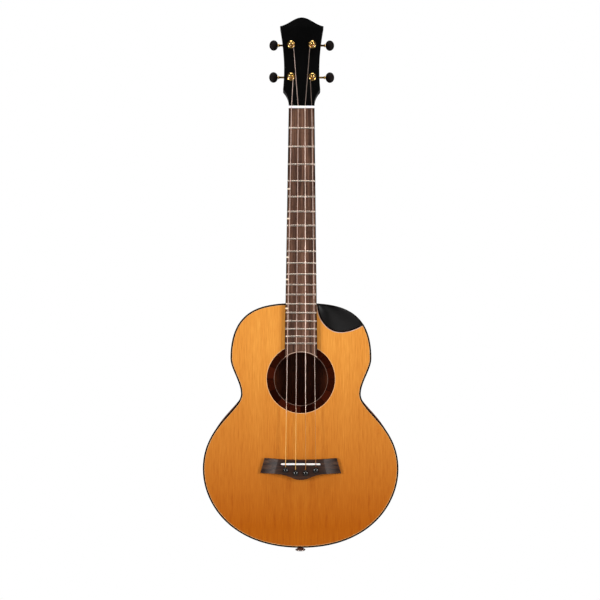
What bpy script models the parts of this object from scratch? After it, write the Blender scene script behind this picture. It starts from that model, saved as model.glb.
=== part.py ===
"""Baritone ukulele with a scooped cutaway, as an assembly of its real pieces.

Face coordinates are used throughout: x to the treble side, y up the neck from the nut's front
edge, z out of the soundboard towards the viewer. FACE stands the instrument up, so that y
becomes world +Z and the soundboard looks along world -Y. All sizes are metres.
"""

import math

import bmesh
import bpy
from mathutils import Matrix, Vector

MM = 0.001
CLEAR = 0.3 * MM            # joint line kept between pieces that are glued, seated or turn

# String scale and fingerboard
SCALE_LENGTH = 482.6 * MM
FRET_COUNT = 19
BODY_FRET = 14              # the fret at which the neck meets the body
BODY_LEAD = 1.0 * MM        # how far the body's edge lies above that fret
NUT_WIDTH = 35.4 * MM
JOINT_WIDTH = 42.7 * MM     # fingerboard width at the body joint
BOARD_THICKNESS = 5.5 * MM
FRET_WIDTH = 2.2 * MM
FRET_HEIGHT = 1.0 * MM
FRET_INSET = 0.4 * MM       # from the end of a fret to the board's edge
NUT_THICKNESS = 3.3 * MM
NUT_SPACING = 9.3 * MM      # between neighbouring strings at the nut
NUT_LEAD = 2.0 * MM         # how far in front of the nut a string still lies straight
NUT_SLOT_REACH = 8.0 * MM   # how far behind the nut's front edge its slots are cut
ACTION_NUT = 0.5 * MM       # from the frets to the underside of the strings
ACTION_TWELFTH = 2.6 * MM

# Body outline
BODY_LENGTH = 335.3 * MM
UPPER_BOUT_WIDTH = 193.2 * MM
UPPER_BOUT_AT = 75.6 * MM   # measured down from the top of the body
WAIST_WIDTH = 164.2 * MM
WAIST_AT = 124.5 * MM
LOWER_BOUT_WIDTH = 268.3 * MM
LOWER_BOUT_AT = 227.3 * MM
SHOULDER_HANDLES = (0.44, 1.0)
UPPER_HANDLES = (0.29, 0.33)
LOWER_HANDLES = (0.215, 0.575)
TAIL_HANDLES = (0.43, 0.72)

# Body box
DEPTH_AT_HEEL = 78.0 * MM
DEPTH_AT_TAIL = 90.0 * MM
TOP_THICKNESS = 2.2 * MM
BACK_THICKNESS = 2.2 * MM
SIDE_THICKNESS = 2.0 * MM
BINDING_WIDTH = 2.0 * MM
BINDING_HEIGHT = 3.0 * MM
LINING_WIDTH = 6.0 * MM
LINING_HEIGHT = 9.0 * MM
NECK_BLOCK_WIDTH = 60.0 * MM
NECK_BLOCK_LENGTH = 44.0 * MM
TAIL_BLOCK_WIDTH = 64.0 * MM
TAIL_BLOCK_LENGTH = 14.0 * MM

# Soundhole and rosette
SOUNDHOLE_AT = 370.5 * MM   # from the nut
SOUNDHOLE_RADIUS = 36.9 * MM
ROSETTE_RADIUS = 47.5 * MM
ROSETTE_THICKNESS = 1.1 * MM

# Scooped cutaway in the treble shoulder
SCOOP_START_X = 24.0 * MM
SCOOP_TIP_AT = 27.7 * MM    # below the top of the body, on the outline
SCOOP_LOW_X = 54.2 * MM
SCOOP_LOW_AT = 37.7 * MM    # lowest point of the arc, below the top of the body
SCOOP_END_ANGLE = 32.0
SCOOP_DEPTH = 26.0 * MM     # how far the rim drops beside the heel
SCOOP_HOLLOW = 1.5          # above 1 the panel is hollow, at 1 it is straight
PANEL_THICKNESS = 1.8 * MM

# Braces
BRACE_WIDTH = 8.0 * MM
TOP_BRACE_HEIGHT = 12.0 * MM
BACK_BRACE_HEIGHT = 12.0 * MM
UPPER_BRACE_AT = 57.0 * MM  # below the top of the body
LOWER_BRACE_GAP = 12.0 * MM  # from the soundhole's edge to the brace below it
BACK_BRACES_AT = {"upper": 60.0 * MM, "middle": 158.0 * MM, "lower": 236.0 * MM}
BRACE_TAPER = 26.0 * MM     # length of a brace's scooped end
FAN_WIDTH = 5.0 * MM
FAN_HEIGHT = 7.0 * MM
FAN_LENGTH = 124.0 * MM
FAN_SPREAD = 36.0 * MM
FAN_ANGLE = 9.0
FAN_TAPER = 20.0 * MM
BRACE_TIP = 3.0 * MM        # height left at a brace's tapered end

# Bridge
BRIDGE_TOP_WIDTH = 98.9 * MM
BRIDGE_BOTTOM_WIDTH = 110.6 * MM
BRIDGE_LENGTH = 20.9 * MM   # along the strings, at the wings
BRIDGE_BELLY = 8.3 * MM     # how far the belly reaches below the wings
BRIDGE_HOLLOW = 2.2 * MM    # how far the upper edge curves in
BRIDGE_HEIGHT = 8.5 * MM
BRIDGE_WING_HEIGHT = 4.0 * MM
BRIDGE_BLOCK_TOP = 60.4 * MM  # width of the thick middle at its upper edge
BRIDGE_BLOCK_BOTTOM = 70.0 * MM
BRIDGE_BELLY_SHARE = 0.705  # part of the bottom edge that the belly's curve takes
BRIDGE_RAMP = 8.5 * MM      # hollowed slope from the thick middle down to a wing
BRIDGE_ABOVE_SADDLE = 7.7 * MM
BRIDGE_PLATE_WIDTH = 116.0 * MM
BRIDGE_PLATE_LENGTH = 34.0 * MM
BRIDGE_PLATE_THICKNESS = 2.2 * MM
SADDLE_LENGTH = 53.9 * MM
SADDLE_THICKNESS = 2.9 * MM
SADDLE_COMPENSATION = 3.7 * MM
SADDLE_SLOT_DEPTH = 4.5 * MM
SADDLE_SPACING = 13.75 * MM
PIN_BEHIND_SADDLE = {"outer": 8.4 * MM, "inner": 12.4 * MM}
PIN_HEAD_RADIUS = 3.7 * MM
PIN_HEAD_HEIGHT = 2.8 * MM
PIN_RADIUS = 2.3 * MM
PIN_TIP_RADIUS = 1.8 * MM
PIN_LENGTH = 19.0 * MM
STRAP_BUTTON_RADIUS = 7.1 * MM
STRAP_BUTTON_LENGTH = 11.5 * MM
STRAP_SCREW_RADIUS = 1.8 * MM
STRAP_SCREW_LENGTH = 13.0 * MM
STRAP_RECESS_RADIUS = 2.4 * MM  # where the screw's head sits in the button's end
STRAP_FLAT_RADIUS = 3.8 * MM  # the flat round that recess
STRAP_DOME = 2.0 * MM       # how far the button's end falls from there to its rim

# Neck and headstock
NECK_DEPTH_NUT = 14.0 * MM
NECK_DEPTH_HEEL = 15.5 * MM
HEEL_LENGTH = 54.0 * MM
HEEL_FOOT = 15.0 * MM       # length of the heel where it meets the back
HEEL_TAPER = 0.42
HEAD_TILT = 14.0
HEAD_THICKNESS = 13.0 * MM
HEADPLATE_THICKNESS = 1.5 * MM
HEAD_LENGTH = 130.9 * MM    # along the headstock, from the nut to its crest
HEAD_SHOULDER_AT = 24.0 * MM
HEAD_SHOULDER_WIDTH = 51.2 * MM
HEAD_CREST = 13.3 * MM      # how far the crest rises above its two corners
HEAD_CORNER_WIDTH = 60.4 * MM

# Tuning machines, measured in the headstock's own plane
POST_SPREAD = 29.5 * MM     # between the two columns of posts
POST_ROW_SHARES = {"lower": 0.321, "upper": 0.687}  # of the headstock's length
POST_RADIUS = 3.0 * MM
POST_WAIST_RADIUS = 2.5 * MM
POST_HEIGHT = 8.9 * MM      # above the headplate
STRING_HOLE_HEIGHT = 5.7 * MM
BUSHING_RADIUS = 5.5 * MM
BUSHING_HEIGHT = 1.9 * MM
BUSHING_SLEEVE_RADIUS = 4.2 * MM
BUSHING_SLEEVE_DEPTH = 6.0 * MM
WHEEL_TEETH = 16
WORM_PITCH = 1.8 * MM
WORM_PITCH_RADIUS = 3.0 * MM
THREAD_ADDENDUM = 0.45 * MM
THREAD_DEDENDUM = 0.6 * MM
THREAD_SHARE = 0.4          # width of a thread or tooth on the pitch line, in pitches
THREAD_FLANK = 20.0
THREAD_TURNS = 3
WHEEL_THICKNESS = 4.0 * MM
SHAFT_RADIUS = 1.4 * MM
PLATE_THICKNESS = 1.2 * MM
PLATE_WIDTH = 12.6 * MM
PLATE_TAIL = 10.5 * MM      # from the post, and from the worm, to the plate's two ends
PLATE_CORNER = 2.5 * MM
PLATE_SCREW_RADIUS = 1.1 * MM
PLATE_SCREW_INSET = 2.6 * MM
CHEEK_THICKNESS = 1.2 * MM
CHEEK_WALL = 1.3 * MM       # of a cheek round its journal
BUTTON_REACH = 39.2 * MM    # from the headstock's centre line to a button's centre
BUTTON_WIDTH = 12.2 * MM
BUTTON_HEIGHT = 15.4 * MM
BUTTON_THICKNESS = 7.6 * MM
BUTTON_GRIP = 1.8 * MM      # how far the shaft reaches past the button's centre

# Strings, bass to treble: name, diameter, post row, and the coil's full turns
STRINGS = (
    ("d", 0.89 * MM, "lower", 1),
    ("g", 0.76 * MM, "upper", 1),
    ("b", 0.86 * MM, "upper", 1),
    ("e", 0.66 * MM, "lower", 1),
)
THICKEST_STRING = max(diameter for name, diameter, row, turns in STRINGS)
COIL_GAP = 0.4 * MM         # clear space between neighbouring turns
COIL_STEPS = 24
STRING_TAIL = 2.4 * MM      # how far the free end stands out of its hole
BALL_RADIUS = 1.9 * MM

# How finely round forms are faceted
SHOULDER_STEPS = 8
UPPER_STEPS = 6
LOWER_STEPS = 8
TAIL_STEPS = 9
ROUND = 12
WORM_STEPS = 10
HOLE_ROUND = 24


def fret_y(number):
    return -SCALE_LENGTH * (1 - 2 ** (-number / 12))


BODY_TOP = fret_y(BODY_FRET) + BODY_LEAD
BODY_END = BODY_TOP - BODY_LENGTH
SOUNDHOLE_Y = -SOUNDHOLE_AT
BACK_TAPER = math.atan2(DEPTH_AT_TAIL - DEPTH_AT_HEEL, BODY_LENGTH)
BOARD_TOP = CLEAR + BOARD_THICKNESS
FRET_TOP = BOARD_TOP + FRET_HEIGHT
SADDLE_Y = -SCALE_LENGTH - SADDLE_COMPENSATION
BRIDGE_Y = SADDLE_Y + BRIDGE_ABOVE_SADDLE     # upper edge of the bridge at its corners
BRIDGE_TOP = CLEAR + BRIDGE_HEIGHT
ACTION_RISE = (ACTION_TWELFTH - ACTION_NUT) / -fret_y(12)
SIDE_INNER = SIDE_THICKNESS + CLEAR
LINING_INNER = SIDE_INNER + LINING_WIDTH
# The back lining stands square to the tilted back, so it leans towards the tail.
LINING_LEAN = LINING_HEIGHT * math.sin(BACK_TAPER)
SCOOP_BLOCK_X = SCOOP_START_X - PANEL_THICKNESS - CLEAR

FACE = Matrix.Rotation(math.pi / 2, 4, "X")
BACK = FACE @ Matrix.Translation((0, BODY_TOP, -DEPTH_AT_HEEL)) @ Matrix.Rotation(BACK_TAPER, 4, "X")
HEAD = (FACE @ Matrix.Translation((0, NUT_THICKNESS + CLEAR, 0))
        @ Matrix.Rotation(math.radians(-HEAD_TILT), 4, "X"))
HEAD_CORNER_AT = HEAD_LENGTH - HEAD_CREST

WHEEL_RADIUS = WHEEL_TEETH * WORM_PITCH / (2 * math.pi)
WORM_OFFSET = WORM_PITCH_RADIUS + WHEEL_RADIUS
WORM_RADIUS = WORM_PITCH_RADIUS + THREAD_ADDENDUM
PLATE_FRONT = -HEAD_THICKNESS - CLEAR
PLATE_BACK = PLATE_FRONT - PLATE_THICKNESS
WORM_LEVEL = PLATE_BACK - CLEAR - WORM_RADIUS
WHEEL_FRONT = WORM_LEVEL + WHEEL_THICKNESS / 2
WHEEL_BACK = WORM_LEVEL - WHEEL_THICKNESS / 2
HEADPLATE_TOP = CLEAR + HEADPLATE_THICKNESS
BUSHING_TOP = HEADPLATE_TOP + CLEAR + BUSHING_HEIGHT
WORM_HALF = (THREAD_TURNS + 1) * WORM_PITCH / 2
CHEEK_INNER = WORM_HALF + CLEAR


def clear_scene():
    for obj in list(bpy.data.objects):
        bpy.data.objects.remove(obj, do_unlink=True)


def new_collection(name):
    collection = bpy.data.collections.new(name)
    bpy.context.scene.collection.children.link(collection)
    return collection


def make_material(name, colour, roughness, metallic=0.0):
    material = bpy.data.materials.new(name)
    material.use_nodes = True
    shader = material.node_tree.nodes["Principled BSDF"]
    shader.inputs["Base Color"].default_value = (*colour, 1)
    shader.inputs["Roughness"].default_value = roughness
    shader.inputs["Metallic"].default_value = metallic
    return material


clear_scene()
UKULELE = new_collection("baritone_ukulele")
CUTTERS = new_collection("cutters")

CEDAR = make_material("cedar", (0.60, 0.27, 0.07), 0.35)
MAHOGANY = make_material("mahogany", (0.22, 0.075, 0.035), 0.4)
SPRUCE = make_material("spruce", (0.68, 0.50, 0.30), 0.6)
ROSEWOOD = make_material("rosewood", (0.105, 0.055, 0.04), 0.45)
ROSETTE_WOOD = make_material("rosette_wood", (0.05, 0.012, 0.007), 0.4)
BLACK_BINDING = make_material("black_binding", (0.012, 0.010, 0.010), 0.3)
BLACK_LACQUER = make_material("black_lacquer", (0.008, 0.008, 0.008), 0.15)
SCOOP_BLACK = make_material("scoop_black", (0.02, 0.018, 0.017), 0.45)
BONE = make_material("bone", (0.92, 0.90, 0.86), 0.4)
GOLD = make_material("gold_plate", (0.95, 0.68, 0.25), 0.2, 1.0)
STEEL = make_material("chrome", (0.75, 0.75, 0.77), 0.15, 1.0)
NYLON = make_material("nylon", (0.72, 0.70, 0.68), 0.3)
WOUND = make_material("wound_string", (0.80, 0.52, 0.36), 0.35, 0.8)


def link_object(name, mesh, frame, material):
    """Put a mesh in the scene as a piece, or as a hidden cutter where it has no material."""
    obj = bpy.data.objects.new(name, mesh)
    obj.matrix_world = frame
    if material is None:
        CUTTERS.objects.link(obj)
        obj.hide_render = True
        obj.display_type = "WIRE"
    else:
        UKULELE.objects.link(obj)
        mesh.materials.append(material)
    return obj


def weld(mesh, distance=0.01 * MM):
    bm = bmesh.new()
    bm.from_mesh(mesh)
    bmesh.ops.remove_doubles(bm, verts=bm.verts, dist=distance)
    bm.to_mesh(mesh)
    bm.free()


def mesh_from(obj):
    """Take an object's evaluated shape as a welded mesh, and remove the object."""
    bpy.context.view_layer.update()
    depsgraph = bpy.context.evaluated_depsgraph_get()
    mesh = bpy.data.meshes.new_from_object(obj.evaluated_get(depsgraph))
    weld(mesh)
    bpy.data.objects.remove(obj, do_unlink=True)
    return mesh


def smooth(obj, angle=35):
    obj.data.shade_smooth()
    obj.data.set_sharp_from_angle(angle=math.radians(angle))
    return obj


def flat_shape(name, loops, low, high, frame, material):
    """A plate from local z low to high; the first loop is its outline, the others are holes."""
    curve = bpy.data.curves.new(name, "CURVE")
    curve.dimensions = "2D"
    curve.fill_mode = "BOTH"
    curve.extrude = (high - low) / 2
    for loop in loops:
        spline = curve.splines.new("POLY")
        spline.points.add(len(loop) - 1)
        for point, (x, y) in zip(spline.points, loop):
            point.co = (x, y, 0, 1)
        spline.use_cyclic_u = True
    guide = bpy.data.objects.new(name + "_outline", curve)
    CUTTERS.objects.link(guide)
    mesh = mesh_from(guide)
    mesh.transform(Matrix.Translation((0, 0, (low + high) / 2)))
    mesh.name = name
    return smooth(link_object(name, mesh, frame, material))


def turned(name, profile, frame, material, steps=ROUND, closed=False):
    """Revolve (radius, height) points about local z; they run from the top down."""
    mesh = bpy.data.meshes.new(name)
    edges = [(i, i + 1) for i in range(len(profile) - 1)]
    if closed:
        edges.append((len(profile) - 1, 0))
    mesh.from_pydata([(radius, 0, height) for radius, height in profile], edges, [])
    obj = link_object(name, mesh, frame, material)
    screw = obj.modifiers.new("turn", "SCREW")
    screw.steps = steps
    screw.render_steps = steps
    screw.use_merge_vertices = True
    screw.merge_threshold = 0.01 * MM
    screw.use_smooth_shade = True
    return obj


def tube(name, points, radius, frame, material, resolution=1):
    """A round wire through the points, with closed ends."""
    curve = bpy.data.curves.new(name, "CURVE")
    curve.dimensions = "3D"
    curve.bevel_depth = radius
    curve.bevel_resolution = resolution
    curve.use_fill_caps = True
    spline = curve.splines.new("POLY")
    spline.points.add(len(points) - 1)
    for point, place in zip(spline.points, points):
        point.co = (*place, 1)
    guide = bpy.data.objects.new(name + "_route", curve)
    CUTTERS.objects.link(guide)
    mesh = mesh_from(guide)
    mesh.name = name
    return smooth(link_object(name, mesh, frame, material), 60)


def block(name, low, high, frame, material):
    """A box between two corners."""
    bm = bmesh.new()
    size = [high[i] - low[i] for i in range(3)]
    middle = [(high[i] + low[i]) / 2 for i in range(3)]
    bmesh.ops.create_cube(bm, size=1, matrix=Matrix.Translation(middle) @ Matrix.Diagonal((*size, 1)))
    mesh = bpy.data.meshes.new(name)
    bm.to_mesh(mesh)
    bm.free()
    return link_object(name, mesh, frame, material)


def rod(name, radius, start, end, frame, material, steps=ROUND):
    """A plain cylinder between two points."""
    axis = Vector(end) - Vector(start)
    turn = axis.to_track_quat("Z", "Y").to_matrix().to_4x4()
    place = Matrix.Translation((Vector(start) + Vector(end)) / 2) @ turn
    bm = bmesh.new()
    bmesh.ops.create_cone(bm, cap_ends=True, segments=steps, radius1=radius, radius2=radius,
                          depth=axis.length, matrix=place)
    mesh = bpy.data.meshes.new(name)
    bm.to_mesh(mesh)
    bm.free()
    return link_object(name, mesh, frame, material)


def loft(name, sections, frame, material):
    """Skin a row of closed sections that have as many points each, and cap both ends."""
    bm = bmesh.new()
    rings = [[bm.verts.new(point) for point in section] for section in sections]
    count = len(rings[0])
    for ring, following in zip(rings, rings[1:]):
        for i in range(count):
            j = (i + 1) % count
            bm.faces.new((ring[i], ring[j], following[j], following[i]))
    bm.faces.new(list(reversed(rings[0])))
    bm.faces.new(rings[-1])
    bmesh.ops.recalc_face_normals(bm, faces=bm.faces)
    mesh = bpy.data.meshes.new(name)
    bm.to_mesh(mesh)
    bm.free()
    return smooth(link_object(name, mesh, frame, material))


def combine(obj, other, operation):
    change = obj.modifiers.new(operation.lower() + "_" + other.name, "BOOLEAN")
    change.object = other
    change.operation = operation
    change.solver = "EXACT"


def cut(obj, *cutters):
    for cutter in cutters:
        combine(obj, cutter, "DIFFERENCE")


def join(obj, *additions):
    for addition in additions:
        combine(obj, addition, "UNION")


def bezier(start, start_handle, end_handle, end, steps):
    """Points of one cubic curve, without its last."""
    points = []
    for i in range(steps):
        t = i / steps
        weights = ((1 - t) ** 3, 3 * t * (1 - t) ** 2, 3 * t * t * (1 - t), t ** 3)
        corners = (start, start_handle, end_handle, end)
        points.append(tuple(sum(w * c[k] for w, c in zip(weights, corners)) for k in (0, 1)))
    return points


def circle(x, y, radius, steps=HOLE_ROUND):
    turns = [2 * math.pi * i / steps for i in range(steps)]
    return [(x + radius * math.cos(a), y + radius * math.sin(a)) for a in turns]


def half_outline(finer=1):
    """Treble half of the body's outline, from the neck joint round to the tail."""
    upper = UPPER_BOUT_WIDTH / 2
    upper_y = BODY_TOP - UPPER_BOUT_AT
    waist = WAIST_WIDTH / 2
    waist_y = BODY_TOP - WAIST_AT
    lower = LOWER_BOUT_WIDTH / 2
    lower_y = BODY_TOP - LOWER_BOUT_AT
    out, rise = SHOULDER_HANDLES
    points = bezier((0, BODY_TOP), (out * upper, BODY_TOP),
                    (upper, upper_y + rise * (BODY_TOP - upper_y)), (upper, upper_y),
                    SHOULDER_STEPS * finer)
    leave, arrive = UPPER_HANDLES
    drop = upper_y - waist_y
    points += bezier((upper, upper_y), (upper, upper_y - leave * drop),
                     (waist, waist_y + arrive * drop), (waist, waist_y),
                     UPPER_STEPS * finer)
    leave, arrive = LOWER_HANDLES
    drop = waist_y - lower_y
    points += bezier((waist, waist_y), (waist, waist_y - leave * drop),
                     (lower, lower_y + arrive * drop), (lower, lower_y),
                     LOWER_STEPS * finer)
    leave, out = TAIL_HANDLES
    points += bezier((lower, lower_y), (lower, lower_y - leave * (lower_y - BODY_END)),
                     (out * lower, BODY_END), (0, BODY_END), TAIL_STEPS * finer)
    return points + [(0, BODY_END)]


def mix(a, b, share):
    return tuple(p + (q - p) * share for p, q in zip(a, b))


def crossing(points, axis, value):
    """The first place where a run of points passes a value of x (axis 0) or y (axis 1)."""
    for a, b in zip(points, points[1:]):
        if min(a[axis], b[axis]) <= value <= max(a[axis], b[axis]) and a[axis] != b[axis]:
            return mix(a, b, (value - a[axis]) / (b[axis] - a[axis]))
    raise ValueError("the outline doesn't pass that value")


def resample(points, count):
    """Points at equal distances along a run."""
    lengths = [0.0]
    for a, b in zip(points, points[1:]):
        lengths.append(lengths[-1] + math.dist(a, b))
    result = []
    j = 0
    for i in range(count + 1):
        wanted = lengths[-1] * i / count
        while j < len(points) - 2 and lengths[j + 1] < wanted:
            j += 1
        share = (wanted - lengths[j]) / (lengths[j + 1] - lengths[j])
        result.append(mix(points[j], points[j + 1], min(share, 1.0)))
    return result


def distance_to_loop(point, loop):
    least = math.inf
    for a, b in zip(loop, loop[1:] + loop[:1]):
        run = (b[0] - a[0], b[1] - a[1])
        length = run[0] ** 2 + run[1] ** 2
        share = ((point[0] - a[0]) * run[0] + (point[1] - a[1]) * run[1]) / length
        least = min(least, math.dist(point, mix(a, b, max(0.0, min(1.0, share)))))
    return least


def inset(loop, distance):
    """Move a loop inwards. Points that would lie too near to it, as in corners, are dropped."""
    moved = []
    for before, point, after in zip(loop[-1:] + loop[:-1], loop, loop[1:] + loop[:1]):
        into = Vector((point[0] - before[0], point[1] - before[1])).normalized()
        out = Vector((after[0] - point[0], after[1] - point[1])).normalized()
        normal = Vector((-into.y, into.x))
        middle = (normal + Vector((-out.y, out.x))).normalized()
        reach = distance / middle.dot(normal)
        place = (point[0] + middle.x * reach, point[1] + middle.y * reach)
        if distance_to_loop(place, loop) > 0.99 * distance:
            moved.append(place)
    return moved


HALF = half_outline()
FINE_HALF = half_outline(finer=8)
BODY_LOOP = [(-x, y) for x, y in HALF] + [(x, y) for x, y in reversed(HALF[1:-1])]
SCOOP_TIP = crossing(FINE_HALF, 1, BODY_TOP - SCOOP_TIP_AT)
SCOOP_START = crossing(FINE_HALF, 0, SCOOP_START_X)


def scoop_arc(steps=9):
    """Edge of the soundboard along the scoop, from the tip on the outline to the heel."""
    low = (SCOOP_LOW_X, BODY_TOP - SCOOP_LOW_AT)
    fall = SCOOP_START[1] - low[1]
    slope = math.radians(SCOOP_END_ANGLE)
    reach = 0.35 * (SCOOP_TIP[0] - SCOOP_LOW_X)
    tip_handle = (SCOOP_TIP[0] - reach * math.cos(slope), SCOOP_TIP[1] - reach * math.sin(slope))
    points = bezier(SCOOP_TIP, tip_handle, (low[0] + reach, low[1]), low, steps)
    points += bezier(low, (low[0] - 0.55 * (low[0] - SCOOP_START_X), low[1]),
                     (SCOOP_START_X, SCOOP_START[1] - 0.56 * fall), SCOOP_START, steps)
    return points + [SCOOP_START]


TOP_LOOP = ([(-x, y) for x, y in HALF]
            + [(x, y) for x, y in reversed(HALF[1:-1]) if y < SCOOP_TIP[1] - 2 * MM]
            + scoop_arc()
            + [(x, y) for x, y in reversed(HALF[1:-1]) if y > SCOOP_TIP[1] and x < SCOOP_START_X - 2 * MM])


def body_depth(y):
    return DEPTH_AT_HEEL + (BODY_TOP - y) * math.tan(BACK_TAPER)


def in_back_plane(points):
    """Face points as they lie in the tilted plane of the back."""
    return [(x, (y - BODY_TOP) / math.cos(BACK_TAPER)) for x, y in points]


def brace_length(y):
    """Length of a brace that lies across the body between the linings."""
    bay = [p for p in inset(BODY_LOOP, LINING_INNER + LINING_LEAN + CLEAR) if p[0] > 0]
    return 2 * min(crossing(bay, 1, y + side * 0.6 * BRACE_WIDTH)[0] for side in (-1, 1))


def board_width(y):
    return NUT_WIDTH + (JOINT_WIDTH - NUT_WIDTH) * y / BODY_TOP


def string_x(index, spacing):
    return (index - (len(STRINGS) - 1) / 2) * spacing


def string_level(y, radius):
    """Height of a string's axis over the fingerboard and the soundboard."""
    return FRET_TOP + ACTION_NUT + radius - ACTION_RISE * y


def pin_place(index):
    row = "outer" if index in (0, len(STRINGS) - 1) else "inner"
    return string_x(index, SADDLE_SPACING), SADDLE_Y - PIN_BEHIND_SADDLE[row]


def string_drop(index):
    """Distance in front of a bridge pin at which its string goes down."""
    return PIN_HEAD_RADIUS + CLEAR + STRINGS[index][1] / 2


def pin_hole_loop(index, steps=4):
    """Round pin hole with the string's slot at its front, as one outline."""
    x, y = pin_place(index)
    radius = PIN_RADIUS + CLEAR
    slot = STRINGS[index][1] / 2 + CLEAR
    turn = math.asin(slot / radius)
    start = math.pi / 2 + turn
    sweep = 2 * math.pi - 2 * turn
    around = [start + sweep * i / (2 * steps) for i in range(2 * steps + 1)]
    loop = [(x + radius * math.cos(a), y + radius * math.sin(a)) for a in around]
    end = y + string_drop(index)
    tip = [math.pi * i / steps for i in range(steps + 1)]
    return loop + [(x + slot * math.cos(a), end + slot * math.sin(a)) for a in tip]


def cut_pin_holes(obj, low, high):
    for index in range(len(STRINGS)):
        name = f"{obj.name}_pin_hole_{index + 1}"
        cut(obj, flat_shape(name, [pin_hole_loop(index)], low - MM, high + MM, FACE, None))


# Body

def make_soundboard():
    board = flat_shape("soundboard", [inset(TOP_LOOP, BINDING_WIDTH + CLEAR)],
                       -TOP_THICKNESS, 0, FACE, CEDAR)
    depth = ROSETTE_THICKNESS + CLEAR
    cut(board, rod("rosette_channel", ROSETTE_RADIUS + CLEAR, (0, SOUNDHOLE_Y, -depth),
                   (0, SOUNDHOLE_Y, MM), FACE, None, 2 * HOLE_ROUND))
    cut(board, rod("soundhole", SOUNDHOLE_RADIUS, (0, SOUNDHOLE_Y, -TOP_THICKNESS - MM),
                   (0, SOUNDHOLE_Y, MM), FACE, None, 2 * HOLE_ROUND))
    cut_pin_holes(board, -TOP_THICKNESS, 0)


def make_rosette():
    rings = [circle(0, SOUNDHOLE_Y, radius, 2 * HOLE_ROUND)
             for radius in (ROSETTE_RADIUS, SOUNDHOLE_RADIUS)]
    flat_shape("rosette", rings, -ROSETTE_THICKNESS, 0, FACE, ROSETTE_WOOD)


def make_back():
    outline = in_back_plane(inset(BODY_LOOP, BINDING_WIDTH + CLEAR))
    flat_shape("back", [outline], 0, BACK_THICKNESS, BACK, MAHOGANY)


def make_bindings():
    flat_shape("top_binding", [TOP_LOOP, inset(TOP_LOOP, BINDING_WIDTH)],
               -BINDING_HEIGHT, 0, FACE, BLACK_BINDING)
    rings = [in_back_plane(BODY_LOOP), in_back_plane(inset(BODY_LOOP, BINDING_WIDTH))]
    flat_shape("back_binding", rings, 0, BINDING_HEIGHT, BACK, BLACK_BINDING)


def bent_side(name, path, rims):
    """One bent side: a strip along the outline, given its thickness inwards."""
    below = BINDING_HEIGHT + CLEAR
    bm = bmesh.new()
    pairs = []
    for (x, y), rim in zip(path, rims):
        front = bm.verts.new((x, y, rim))
        back = bm.verts.new((x, y, below - body_depth(y)))
        pairs.append((front, back))
    for (front, back), (next_front, next_back) in zip(pairs, pairs[1:]):
        bm.faces.new((front, back, next_back, next_front))
    mesh = bpy.data.meshes.new(name)
    bm.to_mesh(mesh)
    bm.free()
    side = link_object(name, mesh, FACE, MAHOGANY)
    wall = side.modifiers.new("wall", "SOLIDIFY")
    wall.thickness = SIDE_THICKNESS
    wall.offset = -1
    wall.use_even_offset = True
    return smooth(side)


def scoop_rim(share):
    """Depth of the scoop's outer rim, from the tip (0) to the heel (1)."""
    return BINDING_HEIGHT + (SCOOP_DEPTH - BINDING_HEIGHT) * math.sin(share * math.pi / 2)


def make_sides():
    below = BINDING_HEIGHT + CLEAR
    bass = [(-x, y) for x, y in HALF]
    bass[0] = (-CLEAR / 2, BODY_TOP)
    bass[-1] = (-CLEAR / 2, BODY_END)
    bass_side = bent_side("side_bass", bass, [-below] * len(bass))
    tail_run = [(x, y) for x, y in reversed(HALF[1:-1]) if y < SCOOP_TIP[1] - 2 * MM]
    treble = [(CLEAR / 2, BODY_END)] + tail_run
    rims = [-below] * len(treble)
    shoulder = [SCOOP_TIP] + [p for p in reversed(FINE_HALF) if p[1] > SCOOP_TIP[1]
                              and p[0] > SCOOP_START_X] + [SCOOP_START]
    run = resample(shoulder, 10)
    treble += run
    rims += [-scoop_rim(i / 10) - CLEAR for i in range(11)]
    heel_run = [(SCOOP_BLOCK_X, crossing(FINE_HALF, 0, SCOOP_BLOCK_X)[1]), (CLEAR / 2, BODY_TOP)]
    treble += heel_run
    rims += [-below] * len(heel_run)
    treble_side = bent_side("side_treble", treble, rims)
    depth = body_depth(BODY_END) / 2
    screw_way = rod("strap_screw_way", STRAP_SCREW_RADIUS + CLEAR, (0, BODY_END - 5 * MM, -depth),
                    (0, BODY_END + TAIL_BLOCK_LENGTH + STRAP_SCREW_LENGTH, -depth), FACE, None)
    cut(bass_side, screw_way)
    cut(treble_side, screw_way)
    return screw_way


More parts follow.
